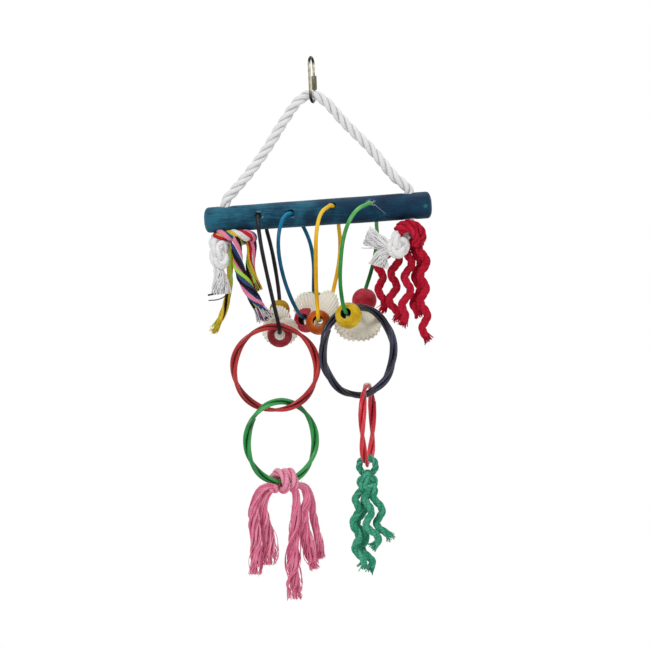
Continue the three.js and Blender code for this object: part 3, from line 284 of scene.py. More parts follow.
# Routes, in mm. The canes and the yoke run as their solids do. Tails start inside their knot or hitch,
# and mostly run as their solids do after that
CANE_LOOPS = {
    "black_cane_loop": [
        (-38.3, -1, -120.8), (-39.1, -4.8, -120.6), (-40.6, -11.6, -120.1), (-40.6, -15.5, -122.4),
        (-40.2, -20, -126), (-39.4, -25, -132.1), (-37.5, -28.5, -144.3), (-34.7, -30.5, -158),
        (-31.3, -31.5, -173.3), (-27.8, -31.8, -188.5), (-25.3, -31.6, -199), (-24.3, -30.9, -204),
        (-23.8, -28.9, -207.6), (-23.7, -25.6, -208.8), (-23.7, -20, -208.9),
        (-23.7, -12.5, -208.9), (-23.7, -4, -208.6), (-23.7, 3, -207.6), (-23.7, 10, -205),
        (-23.7, 15.5, -200.5), (-23.8, 18.3, -195), (-24, 19.2, -189.5), (-24.2, 19.6, -183),
        (-25.2, 20, -174), (-26.9, 20.4, -162.6), (-29.4, 20.2, -148.9), (-31.7, 19, -138.9),
        (-34, 16.5, -130.5), (-35.6, 11.5, -121.7), (-37.1, 4.8, -121.2), (-37.9, 0.9, -121),
    ],
    "blue_cane_loop": [
        (-13.5, -1, -119), (-14.3, -4.9, -118.6), (-15.8, -11.7, -117.9), (-18.7, -15, -119.3),
        (-21.4, -20, -122.5), (-23.5, -23.5, -129), (-24.7, -26, -138.2), (-24.5, -26.5, -147.3),
        (-23, -26, -157.3), (-20.2, -24, -168.7), (-16.2, -19, -180.1), (-12, -10.5, -189.3),
        (-9, -2.5, -194.4), (-6.6, 5, -196.9), (-4.4, 14, -197.8), (-1.8, 23, -198),
        (0.4, 30, -196.8), (1.8, 35.6, -193.5), (2.4, 38.2, -188), (2.4, 38.6, -182),
        (1.9, 38, -175), (2.1, 36.4, -168), (2.1, 33.4, -159.5), (1.4, 29.4, -150.4),
        (-0.4, 24.6, -141.2), (-3.1, 19.4, -133.6), (-6.1, 14.8, -127.5), (-10.7, 11.5, -120.4),
        (-12.2, 4.8, -119.7), (-13.1, 0.9, -119.3),
    ],
    "yellow_cane_loop": [
        (18.3, -1.1, -116.4), (17.4, -4.6, -114.7), (15.9, -10.7, -111.6), (12.6, -15.5, -113.6),
        (8.8, -20.5, -116.4), (6.1, -24, -122.2), (4.6, -26, -129.8), (3.8, -27, -138.9),
        (3.7, -27.5, -151.9), (3.8, -27.5, -165.6), (4.2, -27, -177.9), (4.8, -26.4, -187.8),
        (5.4, -25.4, -195.6), (5.6, -21.4, -199), (5.7, -12, -199.5), (6.5, -3, -199.6),
        (7.9, 4, -199.2), (9.8, 10, -197.3), (11.8, 14.5, -193.1), (14.1, 17.5, -187),
        (16, 19, -180.9), (17.4, 20, -174.8), (19.5, 21, -165.6), (21.4, 21.5, -155),
        (22.3, 20.5, -144.3), (22.1, 18.5, -134.4), (21.1, 15.5, -127.5), (21.1, 10.3, -122.2),
        (19.6, 4.1, -119.1), (18.7, 0.6, -117.3),
    ],
    "green_cane_loop": [
        (47.6, -1.1, -114.4), (46.7, -4.7, -112.8), (45.2, -11, -109.9), (42.3, -16, -111.5),
        (37.4, -22.4, -113.8), (32.4, -28.8, -118.7), (28.8, -33.2, -124.8), (25.9, -36.6, -132.5),
        (23.9, -39.5, -142), (22.7, -41.5, -152.7), (22.1, -43, -163.4), (22.4, -43.5, -174),
        (23.4, -43.2, -182.4), (24.6, -42.2, -189), (26.2, -39, -193.3), (28.6, -31, -195.1),
        (30.7, -20.5, -195), (32.8, -12, -194.6), (34.4, -4, -194.4), (35.6, 4, -194.6),
        (36.7, 12, -195), (37.7, 19, -194.8), (38.5, 25.4, -193), (39.2, 28.8, -188.6),
        (40, 29.8, -183.8), (40.9, 30, -179), (42.2, 30, -174.2), (44.3, 29.4, -168),
        (46.5, 28.4, -160.5), (48.7, 26.6, -151), (50.4, 23.4, -140.5), (50.7, 19, -132.1),
        (50, 14.6, -125.2), (50.5, 10.6, -119.8), (48.9, 4.3, -116.9), (48.1, 0.7, -115.2),
    ],
}
YOKE_ROUTE = [
    (-66.3, -4.6, -144.2), (-64.5, -1.5, -140), (-63.9, -0.3, -135.4), (-63.6, 0, -131.9),
    (-64, 0, -127), (-64.7, 0, -117.3), (-65.2, 0, -109.4), (-56.5, 0, -98.4), (-46.5, 0, -86.3),
    (-34.3, 0, -69.5), (-22.9, 0, -51), (-15.3, 0, -39.4), (-10.4, 0, -33), (-4.8, 0, -28.6),
    (0.4, 0, -27.6), (5.6, 0, -28.6), (11.6, 0, -33), (17.3, 0, -39), (25.2, 0, -48.1),
    (35.9, 0, -58.8), (46.5, 0, -69.5), (55.7, 0, -80.6), (63.6, 0, -90), (74, 0, -99.2),
    (74.6, 0, -107.3), (75.3, 0, -117.5), (75.6, 0, -122.7), (75.3, -0.5, -127.6),
    (74.2, -2.6, -132.8), (72, -5.6, -136.4),
]
TAIL_ROUTES = {
    "pink_tail_1": [
        (-28.4, -32.6, -325.9), (-32.6, -35.3, -325.2), (-38, -36.5, -328.5), (-42.3, -37, -338),
        (-43.1, -35.6, -353.4), (-41.7, -34.6, -366.4), (-41.4, -34.1, -378.4), (-41.8, -34.1, -392.4),
    ],
    "pink_tail_2": [
        (-28.5, -30.5, -326), (-33.5, -32, -331.5), (-36.4, -31, -341), (-35, -28.1, -351.4),
        (-33, -27.7, -362.4), (-31.5, -27.5, -373.4), (-31.3, -27.5, -385.4),
    ],
    "pink_tail_3": [
        (-14, -23.7, -325.5), (-11.5, -23, -331), (-10.8, -24, -340), (-11.9, -26.1, -354.4),
        (-12.9, -26.1, -367.4), (-13.7, -26.1, -381.4), (-12.5, -26.1, -396.4), (-11.3, -26.1, -411.4),
    ],
    "pink_tail_4": [
        (-13.3, -21, -325.9), (-8.9, -18.7, -325), (-5.2, -16.7, -327.5), (-3, -18, -335.5),
        (-5.1, -20.1, -343.4), (-5.5, -20.1, -352.4), (-4, -20.1, -363.4), (-0.5, -20.1, -375.4),
        (4.1, -20.1, -388.4),
    ],
    "pink_tail_5": [
        (-15.5, -17.6, -325.4), (-11, -14.4, -324.4), (-4, -11.5, -326), (0, -11.5, -333),
        (1.4, -12.4, -342), (2.6, -13.1, -353.4), (5, -13.5, -365.4), (8.4, -13.5, -381),
    ],
    "teal_tail_1": [
        (39.5, -3.5, -324.5), (36.6, -3.1, -333.9), (34.8, -5, -338.4), (34.3, -6, -346.4),
        (34.3, -6, -358.4), (34.8, -6, -370.4), (38, -6, -380.4), (37.6, -6, -388.4),
    ],
    "teal_tail_2": [
        (42.8, -6, -326), (42.7, -6.5, -335.1), (44.2, -8, -339.4), (43.7, -8.5, -346.4),
        (44.2, -8.5, -355.4), (48.5, -8.5, -363.4), (49.6, -8.5, -369.4), (48.2, -8.5, -373.9),
    ],
    "teal_tail_3": [
        (43.3, -2.4, -326), (43.4, -1.6, -335.1), (40.6, 1, -339.4), (38, 2, -346.4), (37.4, 2, -356.4),
        (40, 2, -365.4), (41, 2, -373.4), (44.3, 2, -382.4), (45, 2, -391.4),
    ],
    "teal_tail_4": [
        (46.8, -4.6, -325), (49.4, -4.9, -333.9), (51.4, -4, -338.4), (52.2, -3, -346.4),
        (52.6, -3, -356.4), (56, -3, -361.9), (61.3, -3, -366.4),
    ],
    "red_tail_1": [
        (67.8, 1.3, -133.1), (67.8, 1.3, -136.1), (63, 6, -142), (57, 11, -149), (52.6, 13, -158),
        (53, 14, -168), (54, 14, -180), (54.2, 14, -193),
    ],
    "red_tail_2": [
        (71.2, 5.2, -134.9), (71.2, 5.2, -137.9), (70.4, 6, -140), (66.4, 8.6, -149), (63.6, 9, -160),
        (63.4, 9, -172), (62, 9, -186), (66.4, 11, -200),
    ],
    "red_tail_3": [
        (76.6, 5.4, -136.3), (76.6, 5.4, -139.3), (76, 5.4, -141), (75, 3.4, -149), (74.6, 1.4, -158),
        (73.4, 1, -169), (73.6, 1, -181), (70, 1, -193), (70.2, 1, -204),
    ],
    "red_tail_4": [
        (80.8, 1.9, -136.5), (80.8, 1.9, -139.5), (81, 3.4, -141), (81.6, 5, -149), (81.4, 7, -158),
        (81.6, 8, -171), (80.4, 8, -184), (80.8, 8, -196.6),
    ],
    "red_tail_5": [
        (81.5, -3.4, -135.4), (81.5, -3.4, -138.4), (82.4, -3, -139), (85, -3, -147), (86, -2, -156),
        (85.6, -1, -168), (85.6, -1, -184), (86.8, -1, -199), (87.6, -1, -215.6),
    ],
    "multicolour_tail_1": [
        (-57.5, -7, -134.5), (-56.9, -8, -141.5), (-56.6, -9.4, -147), (-55.4, -10, -156),
        (-51, -10.5, -169), (-43.8, -10.5, -181.6), (-37.4, -10.5, -193), (-33.5, -9, -199.5),
    ],
    "multicolour_tail_2": [
        (-46.5, -0.6, -136.8), (-45.2, -0.6, -143.9), (-45.4, -0.4, -146), (-46.2, 1, -156), (-45, 2, -166),
        (-40.4, 2, -177.6),
    ],
    "multicolour_tail_3": [
        (-61.5, 6.2, -137.5), (-61.5, 6.9, -145.2), (-61, 7.4, -148), (-61.6, 8, -160), (-62.6, 8, -174),
        (-65.4, 8, -188), (-72.4, 8, -205), (-75.4, 8, -209.5),
    ],
}


# Lines and strands

def route_line(points, step):
    """Evenly spaced points along the smooth line through a route's points."""
    points = np.array(points, float)
    padded = np.vstack([2 * points[0] - points[1], points, 2 * points[-1] - points[-2]])
    pieces = []
    for index in range(1, len(padded) - 2):
        p0, p1, p2, p3 = padded[index - 1:index + 3]
        d0, d1, d2 = (np.linalg.norm(b - a) ** 0.5 for a, b in ((p0, p1), (p1, p2), (p2, p3)))
        m1 = ((p1 - p0) / d0 - (p2 - p0) / (d0 + d1) + (p2 - p1) / d1) * d1
        m2 = ((p2 - p1) / d1 - (p3 - p1) / (d1 + d2) + (p3 - p2) / d2) * d1
        t = np.linspace(0, 1, 24, endpoint=False)[:, None]
        pieces.append((2 * t**3 - 3 * t**2 + 1) * p1 + (t**3 - 2 * t**2 + t) * m1
                      + (3 * t**2 - 2 * t**3) * p2 + (t**3 - t**2) * m2)
    return even(np.vstack([*pieces, points[-1:]]), step)


def run_of(line):
    """The length along a line at each of its points."""
    return np.concatenate([[0], np.cumsum(np.linalg.norm(np.diff(line, axis=0), axis=1))])


def even(line, step):
    """The same line with evenly spaced points."""
    run = run_of(line)
    places = np.linspace(0, run[-1], max(4, round(run[-1] / step) + 1))
    return np.column_stack([np.interp(places, run, line[:, axis]) for axis in range(3)])


def unit(vectors):
    return vectors / np.linalg.norm(vectors, axis=-1, keepdims=True)


def frames(line):
    """Directions along a line and to two sides of it, which turn no more than the line does."""
    along = unit(np.gradient(line, axis=0))
    side = np.cross(along[0], (0.3, 1, 0.2))
    sides = []
    for direction in along:
        side = unit(side - direction * np.dot(side, direction))
        sides.append(side)
    sides = np.array(sides)
    return along, sides, np.cross(along, sides)


def roll(line, radius, sides, cap=0, tint=EVEN_TINT):
    """A closed tube round a line, rolled from a flat grid. The radius may change along it and round it.
    Its UVs run round it in turns and along it in mm, and its tint says how light it is for its material."""
    rows = len(line)
    reach = np.broadcast_to(radius, (rows, sides))
    shade = np.broadcast_to(tint, (rows, sides))
    bm = bmesh.new()
    bm.loops.layers.uv.new("UVMap")
    tint_layer = bm.verts.layers.float.new("tint")
    bmesh.ops.create_grid(bm, x_segments=sides, y_segments=rows - 1, size=1, calc_uvs=True)
    flat = (np.array([vert.co[:2] for vert in bm.verts]) + 1) / 2
    column = np.rint(flat[:, 0] * sides).astype(int)
    row = np.rint(flat[:, 1] * (rows - 1)).astype(int)
    _, side, across = frames(line)
    angle = (2 * np.pi * column / sides)[:, None]
    places = line[row] + reach[row, column % sides][:, None] * (
        np.cos(angle) * side[row] + np.sin(angle) * across[row])
    for vert, place, light in zip(bm.verts, places * MM, shade[row, column % sides]):
        vert.co = place
        vert[tint_layer] = light
    bmesh.ops.remove_doubles(bm, verts=bm.verts, dist=1e-7)
    ends = bmesh.ops.holes_fill(bm, edges=[edge for edge in bm.edges if edge.is_boundary])["faces"]
    for face in ends:
        face.material_index = cap
    bmesh.ops.recalc_face_normals(bm, faces=bm.faces)
    mesh = bpy.data.meshes.new("rolled")
    bm.to_mesh(mesh)
    bm.free()
    uvs = np.empty(2 * len(mesh.loops), np.float32)
    mesh.uv_layers[0].data.foreach_get("uv", uvs)
    uvs[1::2] *= run_of(line)[-1]
    mesh.uv_layers[0].data.foreach_set("uv", uvs)
    return mesh


def paint(meshes, index):
    """Gives all faces of some meshes one of their piece's materials."""
    for mesh in meshes:
        mesh.polygons.foreach_set("material_index", np.full(len(mesh.polygons), index, np.int32))
    return meshes


def piece(name, meshes, materials, body, nodes, sharp=40):
    """Joins meshes into one piece that rides on a body and stands for its CAD nodes."""
    bm = bmesh.new()
    for mesh in meshes:
        bm.from_mesh(mesh)
        bpy.data.meshes.remove(mesh)
    mesh = bpy.data.meshes.new(name)
    bm.to_mesh(mesh)
    bm.free()
    for material in materials:
        mesh.materials.append(material)
    mesh.polygons.foreach_set("use_smooth", np.ones(len(mesh.polygons), bool))
    mesh.set_sharp_from_angle(angle=math.radians(sharp))
    obj = bpy.data.objects.new(name, mesh)
    scene.collection.objects.link(obj)
    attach(obj, body)
    if nodes:
        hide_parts(*nodes)
    return obj


def cotton_piece(name, meshes, colour, body):
    """A piece of one colour of cotton, which stands for the node of its name."""
    return piece(name + "_cotton", meshes, [COTTON[colour]], body, [name])


def lobed(sides, radius, lobes, twist, depth=0.16):
    """Radii of a strand whose yarns stand out as lobes that wind along it. The twist is in turns."""
    angle = 2 * np.pi * (np.arange(sides)[None, :] / sides + np.asarray(twist)[:, None])
    ridge = np.abs(np.cos(lobes / 2 * angle))
    return np.asarray(radius).reshape(-1, 1) * (1 - depth + depth * ridge)


def laid_lines(line, count, offset, lay, phase=0.0):
    """Centre lines of strands laid about a line, with one turn in each lay's length."""
    _, side, across = frames(line)
    turn = run_of(line) / lay
    lines = []
    for index in range(count):
        angle = 2 * np.pi * (turn + phase + index / count)[:, None]
        lines.append(line + np.reshape(offset, (-1, 1)) * (np.cos(angle) * side + np.sin(angle) * across))
    return lines


def outward(strand, core, sides):
    """How far each place round a strand faces out from the core it is laid about, from -1 to 1."""
    angle = 2 * np.pi * np.arange(sides) / sides
    _, side, across = frames(strand)
    out = unit(strand - core)
    return (np.outer(np.sum(out * side, axis=1), np.cos(angle))
            + np.outer(np.sum(out * across, axis=1), np.sin(angle)))


def laid_rope(line, diameter, lay, rng, yarns=6, yarn_lay=9.0, sides=24, depth=0.09, press=0.0, painted_light=0.0):
    """Meshes of a rope of three twisted strands, each with its yarns standing out. Press flattens them.
    A strand has painted shade where it turns in towards its neighbours, and can be given painted light all
    over."""
    meshes = []
    for strand in laid_lines(line, 3, diameter * (0.245 - press), lay, rng.random()):
        twist = -run_of(strand) / yarn_lay
        radius = diameter * (0.262 + 0.9 * press) * (1 + 0.04 * wander(len(strand), 9, rng))
        # Painted shade where a strand turns in towards the others, and painted light all over if asked
        inner = np.clip((0.55 - outward(strand, line, sides)) / 0.8, 0, 1)
        tint = rng.uniform(0.16, 0.38) + painted_light - 0.4 * inner
        meshes.append(roll(strand, lobed(sides, radius, yarns, twist, depth), sides, tint=tint))
    return meshes


def wander(rows, waves, rng):
    """A smooth random course between about -1 and 1."""
    place = np.linspace(0, 1, rows)
    total = np.zeros(rows)
    for _ in range(3):
        total += np.sin(2 * np.pi * (place * rng.uniform(0.3, 1) * waves + rng.random())) / 2
    return total


def fuzz(line, radius, count, length, rng, thickness=0.07):
    """Loose fibres that stand off a rope's surface."""
    along, side, across = frames(line)
    meshes = []
    for _ in range(count):
        row = rng.integers(1, len(line) - 1)
        angle = rng.uniform(0, 2 * np.pi)
        out = np.cos(angle) * side[row] + np.sin(angle) * across[row]
        lean = along[row] * rng.uniform(-1, 1) + np.cross(along[row], out) * rng.uniform(-1, 1)
        reach = length * rng.uniform(0.4, 1)
        start = line[row] + out * radius * 0.85
        bend = rng.normal(0, 0.35, 3)
        share = np.linspace(0, 1, 5)[:, None]
        fibre = start + reach * (share * (out * 0.6 + lean * 0.7) + share**2 * bend)
        meshes.append(roll(fibre, thickness * np.linspace(1, 0.5, 5)[:, None], 3, tint=rng.uniform(0.1, 0.5)))
    return meshes


def brush(line, first, diameter, count, spread, rng, yarn=0.42):
    """Yarn ends that spread over a line's last stretch, from where its rope is cut."""
    _, side, across = frames(line)
    meshes = []
    for index in range(count):
        angle = 2 * np.pi * (index * 0.618 + rng.uniform(-0.05, 0.05))
        share = math.sqrt((index + 0.5) / count)
        out = np.cos(angle) * side[first] + np.sin(angle) * across[first]
        last = first + (len(line) - 1 - first) * rng.uniform(0.6, 1)
        rows = np.linspace(first - 3, last, 8)
        course = np.column_stack([np.interp(rows, np.arange(len(line)), line[:, axis]) for axis in range(3)])
        t = np.linspace(0, 1, 8)[:, None]
        course = course + out * share * (diameter / 2 - yarn)
        course = course + t**1.6 * (out * share * spread + rng.normal(0, 0.4, 3))
        radius = yarn * rng.uniform(0.75, 1.15) * np.linspace(1, 0.8, 8)
        meshes.append(roll(course, lobed(9, radius, 3, np.linspace(0, 1.2, 8)), 9,
                           tint=rng.uniform(0.02, 0.5)))
    return meshes


PINCH_LENGTH = 40  # mm from its knot over which a pinched tail opens out


def loose_yarns(line, diameter, count, yarn, lay, splay, rng, ragged=0.1, pinch=0.0):
    """Centre lines of yarns that run loosely along a line, and stray more towards its end.
    A pinch draws them together where they leave their knot."""
    rows = len(line)
    _, side, across = frames(line)
    run = run_of(line)
    place = run / run[-1]
    lines = []
    for index in range(count):
        share = math.sqrt((index + 0.5) / count)
        room = (diameter / 2 - yarn) * share * (1 + splay * place**1.5)
        room = room * (1 - pinch * np.clip(1 - run / PINCH_LENGTH, 0, 1))
        angle = 2 * np.pi * (run / lay + index * 0.618) + 0.5 * wander(rows, run[-1] / 30, rng)
        stray = 0.35 * diameter * place[:, None] * np.column_stack(
            [wander(rows, run[-1] / 40, rng) for _ in range(2)]) * splay
        out = (room * np.cos(angle) + stray[:, 0])[:, None] * side
        out = out + (room * np.sin(angle) + stray[:, 1])[:, None] * across
        last = rows - (int(rng.uniform(0, ragged) * rows) if index % 3 else 0)
        lines.append((line + out)[:last])
    return lines


def yarn_meshes(lines, yarn, rng, sides=9):
    """Two- or three-ply yarns along given lines."""
    meshes = []
    for line in lines:
        radius = yarn * rng.uniform(0.85, 1.12) * (1 + 0.06 * wander(len(line), 6, rng))
        meshes.append(roll(line, lobed(sides, radius, 3, run_of(line) / 5.0, 0.2), sides,
                           tint=rng.uniform(0.05, 0.5)))
    return meshes


# Tassel tails, the free cords

WAVE_LENGTH = 20.5
WAVE_RADIUS = 2.2


def wavy_line(points, step):
    """A strand that curls about its route, from nothing at its upper end."""
    middle = route_line(points, step)
    run = run_of(middle)
    angle = 2 * np.pi * run / WAVE_LENGTH
    swell = WAVE_RADIUS * np.minimum(1, run / (WAVE_LENGTH / 2))
    curl = np.column_stack([swell * np.cos(angle), swell * np.sin(angle), np.zeros(len(run))])
    return even(middle + curl, step)


TAIL_STEP = 0.8
BRUSH_LENGTH = 5
# How many tails a tassel has, their diameter and their body
WAVY_TAILS = {"teal": (4, 6.0, "teal_tassel"), "red": (5, 6.5, "perch")}
for colour, (tails, diameter, body) in WAVY_TAILS.items():
    for number in range(1, tails + 1):
        name = f"{colour}_tail_{number}"
        rng = np.random.default_rng(len(colour) * 100 + number)
        line = wavy_line(TAIL_ROUTES[name], TAIL_STEP)
        cut = len(line) - round(BRUSH_LENGTH / TAIL_STEP)
        meshes = laid_rope(line[:cut], diameter, lay=17, rng=rng, depth=0.07, press=0.05)
        meshes += brush(line, cut, diameter, count=26, spread=1.7, rng=rng, yarn=0.48)
        meshes += fuzz(line[:cut], diameter / 2, count=50, length=1.6, rng=rng)
        tail = cotton_piece(name, meshes, colour, body)

PINK_DIAMETERS = (9, 10, 9.4, 8.4, 5.6)
PINK_STEP = 1.0
# Radius of a yarn, how many there are and how far they stray
PINK_YARNS = [(1.0, 13, 0.35), (0.5, 16, 0.4), (0.28, 8, 0.45)]
for number, diameter in enumerate(PINK_DIAMETERS, 1):
    name = f"pink_tail_{number}"
    rng = np.random.default_rng(700 + number)
    line = route_line(TAIL_ROUTES[name], PINK_STEP)
    meshes = []
    for yarn, count, splay in PINK_YARNS:
        for course in loose_yarns(line, diameter, count, yarn, 75, splay, rng, ragged=0.2, pinch=0.5):
            cut = len(course) - 6
            meshes += yarn_meshes([course[:cut]], yarn, rng)
            meshes += brush(course, cut, 2 * yarn, count=5, spread=0.6, rng=rng, yarn=0.25)
    meshes += fuzz(line, diameter * 0.45, count=110, length=2.2, rng=rng)
    tail = cotton_piece(name, meshes, "pink", "pink_tassel")

MIXED_YARNS = [COTTON[dye] for dye in ("navy", "lime", "yellow", "rose", "scarlet", "white", "black")]
NAVY, LIME, YELLOW, ROSE, SCARLET, WHITE, BLACK = range(7)
# Diameter, yarn radius, lay and colours of the yarns, and how many fray out at the end in each colour
MULTICOLOUR_TAILS = [
    (9.4, 1.6, -44, [NAVY, LIME, NAVY, ROSE, WHITE, NAVY, BLACK, ROSE, LIME, NAVY, BLACK],
     {WHITE: 60, NAVY: 26, ROSE: 8}),
    (8.4, 1.3, -90, [BLACK, SCARLET, WHITE, BLACK, ROSE, NAVY, SCARLET, SCARLET, NAVY, LIME, ROSE, BLACK,
                     YELLOW, BLACK], {BLACK: 8, ROSE: 8, LIME: 6}),
    (6.0, 1.2, -70, [YELLOW, LIME, YELLOW, BLACK, LIME, YELLOW, YELLOW], {YELLOW: 8, LIME: 8}),
]
SLENDER = 6.2  # a cord is taken as at least this many times as long as it is thick
for number, (diameter, yarn, lay, colours, frayed) in enumerate(MULTICOLOUR_TAILS):
    name = f"multicolour_tail_{number + 1}"
    rng = np.random.default_rng(810 + number)
    line = route_line(TAIL_ROUTES[name], TAIL_STEP)
    cord = min(diameter, run_of(line)[-1] / SLENDER)
    meshes = []
    for colour, course in zip(colours, loose_yarns(line, diameter, len(colours), yarn, lay, 0.22, rng)):
        cut = len(course) - 9
        strand = yarn_meshes([course[:cut]], yarn, rng, sides=12)
        strand += brush(course, cut, 2 * yarn, count=12, spread=1.0, rng=rng, yarn=0.26)
        meshes += paint(strand, colour)
    for colour, count in frayed.items():
        meshes += paint(brush(line, len(line) - 14, cord, count, 0.3 * cord, rng, yarn=0.3), colour)
    tail = piece(name + "_cotton", meshes, MIXED_YARNS, "perch", [name])


# Yoke rope, its stop knots and frayed ends

ROPE_DIAMETER = 7.8
rng = np.random.default_rng(1)
yoke = route_line(YOKE_ROUTE, 0.9)
meshes = laid_rope(yoke, ROPE_DIAMETER, lay=27, rng=rng, yarns=8, yarn_lay=14, sides=32, depth=0.06,
                   press=-0.012)
meshes += fuzz(yoke, ROPE_DIAMETER / 2, count=160, length=2.0, rng=rng, thickness=0.05)
cotton_piece("yoke_rope", meshes, "white", "perch")


def turned(angles):
    """A turn about the three axes, in degrees."""
    matrix = Matrix.Identity(3)
    for axis, angle in zip("XYZ", angles):
        matrix = matrix @ Matrix.Rotation(math.radians(angle), 3, axis)
    return np.array(matrix)


def trefoil(radius, rows):
    """The closed line of an overhand knot."""
    u = np.linspace(0, 4 * np.pi, rows)
    reach = radius * (2 + np.cos(1.5 * u)) / 2
    return np.column_stack([reach * np.cos(u), reach * np.sin(u), radius * np.sin(1.5 * u) / 2])


# Centre, turn and stretch of each knot
STOP_KNOTS = {
    "left_stop_knot": ((-70, -10, -148.4), (70, 40, 20), (0.85, 1.5)),
    "right_stop_knot": ((66.1, -11.9, -142.8), (75, 45, -15), (1.05, 1.25)),
}
STOP_KNOT_RADIUS = 4.6
STOP_KNOT_ROPE = 7.0
for number, (name, (centre, turn, stretch)) in enumerate(STOP_KNOTS.items()):
    rng = np.random.default_rng(20 + number)
    line = trefoil(STOP_KNOT_RADIUS, 130) * (*stretch, 1.1) @ turned(turn).T + centre
    meshes = laid_rope(line, STOP_KNOT_ROPE, lay=26, rng=rng, yarns=8, yarn_lay=12, sides=32, depth=0.08,
                       press=0.05)
    meshes += fuzz(line, STOP_KNOT_ROPE / 2, count=90, length=2.2, rng=rng)
    cotton_piece(name, meshes, "white", "perch")

ROPE_ENDS = {
    "left_rope_end": [(-70.2, -9.6, -156.5), (-70.2, -9.4, -160.9), (-69.2, -8.6, -169), (-68, -8, -179.5)],
    "right_rope_end_upper": [(60.4, -13, -143.4), (50.4, -15, -139), (41.8, -15.6, -135.6)],
    "right_rope_end_lower": [(58.5, -13.6, -146.4), (53.8, -14.4, -150.4), (51.3, -14.4, -158.6)],
}
END_YARN = 0.38
for number, (name, points) in enumerate(ROPE_ENDS.items()):
    rng = np.random.default_rng(40 + number)
    line = route_line(points, TAIL_STEP)
    yarns = loose_yarns(line, diameter=8, count=150, yarn=END_YARN, lay=70, splay=0.85, rng=rng, ragged=0.35)
    meshes = yarn_meshes(yarns, END_YARN, rng, sides=6)
    meshes += fuzz(line, radius=3.8, count=140, length=2.8, rng=rng)
    cotton_piece(name, meshes, "white", "perch")


# Hitches and knots of the tassels

def along_ring(turn):
    return np.array((math.cos(math.radians(turn)), math.sin(math.radians(turn)), 0))


def hitch_line(centre, lean, radius, stretch, rows=90):
    """A turn of rope round the yoke rope, drawn out to one side."""
    angle = np.linspace(0, 2 * np.pi, rows) + np.pi / 2
    drawn = stretch * np.clip(1.6 * np.cos(angle), -1, 1)
    flat = np.column_stack([radius * np.cos(angle) + drawn, radius * np.sin(angle), np.zeros(rows)])
    return flat @ turned(lean).T + centre


rng = np.random.default_rng(60)
red_turn = hitch_line((74.6, -1.3, -129.8), lean=(-14, 14, 0), radius=7.35, stretch=0)
RED_ARCHES = [
    [(65.6, -7.4, -131), (69.2, -9.4, -126.8), (76, -10, -125.9), (82.6, -8.6, -129.2), (85.2, -6.4, -135),
     (83.2, -5.6, -141.5)],
    [(66.5, -9, -134), (71.5, -11, -129.9), (77.3, -11, -131.4), (80.2, -9.4, -136.6), (79.4, -8.4, -143)],
]
meshes = laid_rope(red_turn, 6, lay=17, rng=rng)
for arch in RED_ARCHES:
    line = route_line(arch, TAIL_STEP)
    meshes += laid_rope(line, 6.2, lay=17, rng=rng) + fuzz(line, radius=3, count=50, length=1.8, rng=rng)
cotton_piece("red_hitch", meshes, "red", "perch")

rng = np.random.default_rng(61)
mixed_turn = hitch_line((-58.6, -0.55, -136.4), lean=(-14, 0, 0), radius=7.75, stretch=5.6)
HITCH_COLOURS = [SCARLET, YELLOW, LIME, WHITE, NAVY, YELLOW, SCARLET, NAVY, WHITE, ROSE]
HITCH_YARN = 1.8
courses = loose_yarns(mixed_turn, 9.6, len(HITCH_COLOURS), HITCH_YARN, lay=21, splay=0, rng=rng)
meshes = []
for colour, course in zip(HITCH_COLOURS, courses):
    meshes += paint(yarn_meshes([course], HITCH_YARN, rng, sides=12), colour)
# Two black yarns that hang loose, by their radius
LOOSE_YARNS = {
    0.8: [(-63, -4, -172), (-66.4, -8.5, -178.6), (-71.5, -10, -179), (-78.4, -9.6, -180.4)],
    0.4: [(-62, -4, -174), (-65.4, -9, -181), (-70.5, -10, -183.6), (-78, -9, -184.4)],
}
for yarn, points in LOOSE_YARNS.items():
    meshes += paint(yarn_meshes([route_line(points, TAIL_STEP)], yarn, rng), BLACK)
piece("multicolour_hitch_cotton", meshes, MIXED_YARNS, "perch", ["multicolour_hitch"])

PINK_FOOT = np.array((-22.516, -25.144, -321.379))
PINK_TURNS = 2
PINK_PITCH = 7.4
PINK_RADIUS = 6.6
GREEN_RING_MIDDLE = 30.65
rng = np.random.default_rng(62)
angle = np.linspace(-np.pi, (2 * PINK_TURNS - 1) * np.pi, 150)
ahead = along_ring(33)
sideways = np.array((-ahead[1], ahead[0], 0))
along = PINK_PITCH * (angle / (2 * np.pi) - 0.75) + PINK_PITCH / 2
rise = GREEN_RING_MIDDLE - np.sqrt(GREEN_RING_MIDDLE**2 - along**2)
pink_turns = (PINK_FOOT + np.outer(along, ahead) + np.outer(-PINK_RADIUS * np.sin(angle), sideways)
              + np.outer(PINK_RADIUS * np.cos(angle) + rise, (0, 0, 1)))
lead = PINK_FOOT + np.outer((-12, -8), ahead) + np.outer((-5, -2.4), sideways) + ((0, 0, -4.4), (0, 0, -5.9))
pink_turns = even(np.vstack([lead, pink_turns]), 0.9)
# The hitch's pink is made lighter by painted light
meshes = laid_rope(pink_turns, 6.9, lay=34, rng=rng, yarns=9, yarn_lay=22, sides=36, depth=0.15, painted_light=0.26)
meshes += fuzz(pink_turns, radius=3.2, count=90, length=2.2, rng=rng)
cotton_piece("pink_hitch", meshes, "pink", "pink_tassel")

